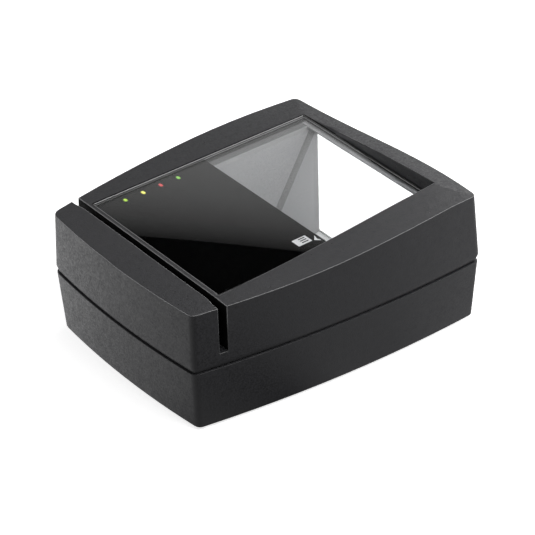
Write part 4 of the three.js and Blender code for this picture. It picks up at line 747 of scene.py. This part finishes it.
def add_pane():
    low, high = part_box("window_glass")
    low.z += PANE_CLEARANCE
    inset = Vector((PANE_ARRIS, PANE_ARRIS, 0))
    full = rounded_rectangle(low, high, PANE_CORNER)
    inner = rounded_rectangle(low + inset, high - inset, PANE_CORNER - PANE_ARRIS)
    outlines = (
        (inner, low.z),
        (full, low.z + PANE_LOWER_ARRIS),
        (full, high.z - PANE_ARRIS_DROP),
        (inner, high.z),
    )
    form = bmesh.new()
    rings = [[form.verts.new((x, y, z)) for x, y in points] for points, z in outlines]
    for below, above, finish in zip(rings, rings[1:], (LOWER, BLACK_AND_SHADED, CHAMFER_HIGHLIGHT)):
        bridge(form, below, above, finish)
    form.faces.new(list(reversed(rings[0])))
    form.faces.new(rings[-1])
    for face in form.faces:
        # The top chamfer takes a painted shade beside the stop and at the left, and keeps its
        # painted highlight at the rear
        if face.material_index == CHAMFER_HIGHLIGHT:
            middle = face.calc_center_median()
            if middle.y < low.y + PANE_CORNER or middle.x > high.x - PANE_CORNER:
                face.material_index = BLACK_AND_SHADED
            elif middle.x < low.x + PANE_CORNER:
                face.material_index = LEFT_CHAMFER_SHADE
    finishes = (
        FINISHES["window_glass"],
        ground_edge("black glass edge and painted shade", BLACK_EDGE_AND_SHADE),
        ground_edge("ground glass chamfer with painted highlight", GROUND_CHAMFER_HIGHLIGHT),
        ground_edge("lower glass chamfer", LOWER_CHAMFER, LOWER_CHAMFER_PRINTED),
        ground_edge("glass chamfer with painted shade", LEFT_CHAMFER_SHADE_GREY),
    )
    make_piece("window_pane", form, finishes, "window_glass", "window_glass")


add_pane()


# The pictogram on the print: a page with lines on it, and an arrow head pointing at it

INK_THICKNESS = 0.02 * MM
PAGE_ACROSS = (-10.9 * MM, 0.3 * MM)
PAGE_ALONG = (-55.6 * MM, -47.7 * MM)
PAGE_LINES = (-6.6 * MM, -1.2 * MM)
PAGE_LINE_MIDDLES = (-53.5 * MM, -51.3 * MM, -49.2 * MM)
PAGE_LINE_HALF = 0.5 * MM
ARROW_MM = ((1.7, -55.9), (5.4, -59.0), (4.2, -55.5), (5.3, -51.7))


def thicken(form, thickness):
    """Adds a second side above flat faces and walls round them, in the same order each run."""
    outline = [edge.verts[:] for edge in form.edges if edge.is_boundary]
    lower = form.faces[:]
    above = {vert: form.verts.new(vert.co + Vector((0, 0, thickness))) for vert in form.verts[:]}
    for face in lower:
        form.faces.new([above[vert] for vert in face.verts])
    for start, end in outline:
        form.faces.new((start, end, above[end], above[start]))


def add_pictogram():
    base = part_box("window_mask")[1].z + INK_THICKNESS
    columns = (PAGE_ACROSS[0], *PAGE_LINES, PAGE_ACROSS[1])
    rows = [PAGE_ALONG[0]]
    for middle in PAGE_LINE_MIDDLES:
        rows += [middle - PAGE_LINE_HALF, middle + PAGE_LINE_HALF]
    rows.append(PAGE_ALONG[1])
    form = bmesh.new()
    corners = [[form.verts.new((x, y, base)) for x in columns] for y in rows]
    for j, (row, next_row) in enumerate(zip(corners, corners[1:])):
        for i in range(len(columns) - 1):
            on_a_line = i == 1 and j % 2 == 1
            if not on_a_line:
                form.faces.new((row[i], row[i + 1], next_row[i + 1], next_row[i]))
    arrow = [form.verts.new((x * MM, y * MM, base)) for x, y in ARROW_MM]
    form.faces.new(arrow[:3])
    form.faces.new((arrow[0], arrow[2], arrow[3]))
    thicken(form, INK_THICKNESS)
    make_piece("pictogram", form, (screen_ink("white ink", PICTOGRAM_WHITE),), "mask_black")


add_pictogram()


# A dark strip along each side of the mirror, over the gap between it and the chamber's wall, as a
# painted shadow of that gap

MIRROR_ANGLE = math.radians(46)
MIRROR_THICKNESS = 2 * MM
WALL_TAPER = 0.31
SHADOW_STRIP_LEG = 2.668 * MM
SHADOW_STRIP_STEPS = 4
SHADOW_STRIP_END_GAP = 1.5 * MM
SHADOW_STRIP_INTO_WALL = 0.5 * MM
SHADOW_STRIP_INTO_MIRROR = 0.2 * MM


def add_gap_shadow_strip(name, side):
    """The painted shadow strip runs down the line where the mirror's face meets the wall on that
    side.
    """
    low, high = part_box("fold_mirror")
    face = Vector((-math.sin(MIRROR_ANGLE), 0, math.cos(MIRROR_ANGLE)))
    wall = Vector((0, -side, WALL_TAPER)).normalized()
    along_mirror = Vector((0, -side, 0))
    along_wall = (face - face.dot(wall) * wall).normalized()
    top_x = high.x - MIRROR_THICKNESS / math.sin(MIRROR_ANGLE)
    top_y = (high.y if side > 0 else low.y) + side * SHADOW_STRIP_INTO_WALL
    form = bmesh.new()
    rings = []
    for fall in (SHADOW_STRIP_END_GAP, high.z - low.z - SHADOW_STRIP_END_GAP):
        corner = Vector((
            top_x - fall / math.tan(MIRROR_ANGLE), top_y - side * WALL_TAPER * fall, high.z - fall
        ))
        ring = [corner - face * SHADOW_STRIP_INTO_MIRROR]
        for i in range(SHADOW_STRIP_STEPS + 1):
            turn = math.pi / 2 * i / SHADOW_STRIP_STEPS
            leg = along_mirror * math.cos(turn) + along_wall * math.sin(turn)
            ring.append(corner + leg * SHADOW_STRIP_LEG)
        rings.append([form.verts.new(point) for point in ring])
    bridge(form, *rings)
    form.faces.new(rings[0])
    form.faces.new(list(reversed(rings[1])))
    make_piece(name, form, (GAP_SHADOW_STRIP,), "gasket_grey")


add_gap_shadow_strip("mirror_gap_shadow_rear", 1)
add_gap_shadow_strip("mirror_gap_shadow_front", -1)


# The stage

FLOOR_SIZE = 12
FLOOR_GRAIN = 0.4
# The table's own light for the camera. Then what reflects it: its greatest light, and shares of a
# turn from the left side by way of the front, each with the share of that light there
FLOOR_LIFT = 0.75
FLOOR_GLOW = 2.0
FLOOR_SHARES = (
    (0.0001, 0.39), (0.035, 0.34), (0.105, 0.15), (0.175, 0.04), (0.245, 0.21), (0.32, 0.20),
    (0.405, 0.37), (0.525, 0.35), (0.70, 0.35), (0.85, 0.90), (0.95, 0.45), (0.9999, 0.39),
)


def add_floor():
    """A white table. What reflects it sees it brighter or darker by direction, as in a studio."""
    bpy.ops.mesh.primitive_plane_add(size=FLOOR_SIZE)
    floor = bpy.context.object
    floor.name = "floor"
    s = Shader("white table")
    paint = s.between(s.noise(FLOOR_GRAIN, detail=2), *TABLE_PAINTS)
    bright = s.with_inputs(
        "ShaderNodeAddShader",
        None,
        s.add("ShaderNodeBsdfDiffuse", Color=paint).outputs[0],
        s.add("ShaderNodeEmission", Strength=FLOOR_LIFT).outputs[0],
    )
    turn = s.add("ShaderNodeTexGradient", {"gradient_type": "RADIAL"}, Vector=s.coordinates)
    ramp = s.add("ShaderNodeValToRGB", Fac=turn.outputs["Fac"])
    stops = ramp.color_ramp.elements
    for place, share in FLOOR_SHARES:
        stops.new(place).color = (share, share, share, 1)
    stops.remove(stops[0])
    stops.remove(stops[-1])
    glow = s.add("ShaderNodeEmission", Color=ramp.outputs["Color"], Strength=FLOOR_GLOW)
    floor.data.materials.append(
        s.finish(s.if_ray("Is Camera Ray", glow.outputs[0], bright.outputs[0]))
    )


# The studio's walls. Heights are a direction's share along a line that leans slightly to the left:
# the walls give full light below the first, fade up to the second and end there
WALL_UPRIGHT = (-0.12, 0, 1)
WALL_FULL = 0.4611
WALL_EDGE = 0.4972
WALL_FADE_POWER = 2
WALL_LIGHT = 0.69
WALL_EDGE_LIGHT = 0.06
# The backdrop's middle lies where the window glass mirrors the camera. To the sides its light
# falls, over this range of a direction's share along that line, to the side walls' share
BACKDROP_MIDDLE = (0.629, 0.777, 0)
BACKDROP_SPREAD = (0.35, 0.70)
SIDE_SHARE = 0.3


def add_world():
    """White walls, brightest behind the reader, that fade upwards to a dark ceiling."""
    world = bpy.data.worlds.new("studio")
    scene.world = world
    world.use_nodes = True
    s = Nodes(world.node_tree)
    direction = s.add("ShaderNodeTexCoord").outputs["Generated"]
    height = s.vector_math("DOT_PRODUCT", direction, WALL_UPRIGHT, "Value")
    fade = s.math("POWER", s.ramp(height, WALL_FULL, WALL_EDGE), WALL_FADE_POWER)
    wall = s.ramp(fade, 0, 1, WALL_LIGHT, WALL_EDGE_LIGHT)
    wall = s.math("MULTIPLY", wall, s.math("LESS_THAN", height, WALL_EDGE))
    to_middle = s.vector_math("DOT_PRODUCT", direction, BACKDROP_MIDDLE, "Value")
    wall = s.math("MULTIPLY", wall, s.ramp(to_middle, *BACKDROP_SPREAD, low=SIDE_SHARE))
    walls = s.add("ShaderNodeBackground", Color=(1, 1, 1), Strength=wall).outputs[0]
    white = s.add("ShaderNodeBackground", Color=(1, 1, 1)).outputs[0]
    s.add("ShaderNodeOutputWorld", Surface=s.if_ray("Is Camera Ray", walls, white))


# Soft square lamps: azimuth from the front towards the right and elevation, in degrees, distance
# from the reader's middle and size, in metres, and brightness
LAMP_AIM = (0, 0, 60 * MM)
LAMPS = {
    "left lamp": (-128, 12, 0.9, 0.5, 1.0),
    "upper left lamp": (-136, 33, 0.9, 0.55, 1.6),
    "right lamp": (55, 20, 0.7, 0.4, 4.0),
    "rear right lamp": (108, 38, 0.8, 0.5, 2.3),
    "front lamp": (10, 60, 1.0, 0.5, 6.5),
}


def add_lamp(name, azimuth, elevation, distance, size, brightness):
    turn = math.radians(azimuth)
    rise = math.radians(elevation)
    away = Vector((
        math.sin(turn) * math.cos(rise), -math.cos(turn) * math.cos(rise), math.sin(rise)
    ))
    lamp = bpy.data.lights.new(name, "AREA")
    lamp.shape = "SQUARE"
    lamp.size = size
    lamp.energy = brightness * math.pi * size * size
    holder = bpy.data.objects.new(name, lamp)
    holder.location = Vector(LAMP_AIM) + away * distance
    holder.rotation_euler = away.to_track_quat("Z", "Y").to_euler()
    scene.collection.objects.link(holder)


# The camera, on the photo's own sight line: 39 degrees left of the front, 34.5 degrees above
CAMERA_PLACE = (-0.8774, -1.0904, 1.0015)
CAMERA_AZIMUTH = -39.067
CAMERA_ELEVATION = 34.496
CAMERA_LENS = 168.2
SENSOR_WIDTH = 36


def add_camera():
    camera = bpy.data.objects.new("camera", bpy.data.cameras.new("camera"))
    camera.data.lens = CAMERA_LENS
    camera.data.sensor_width = SENSOR_WIDTH
    camera.location = CAMERA_PLACE
    camera.rotation_euler = (
        math.radians(90 - CAMERA_ELEVATION), 0, math.radians(CAMERA_AZIMUTH)
    )
    scene.collection.objects.link(camera)
    scene.camera = camera


add_floor()
add_world()
for lamp_name, settings in LAMPS.items():
    add_lamp(lamp_name, *settings)
add_camera()
scene.view_settings.view_transform = "Standard"
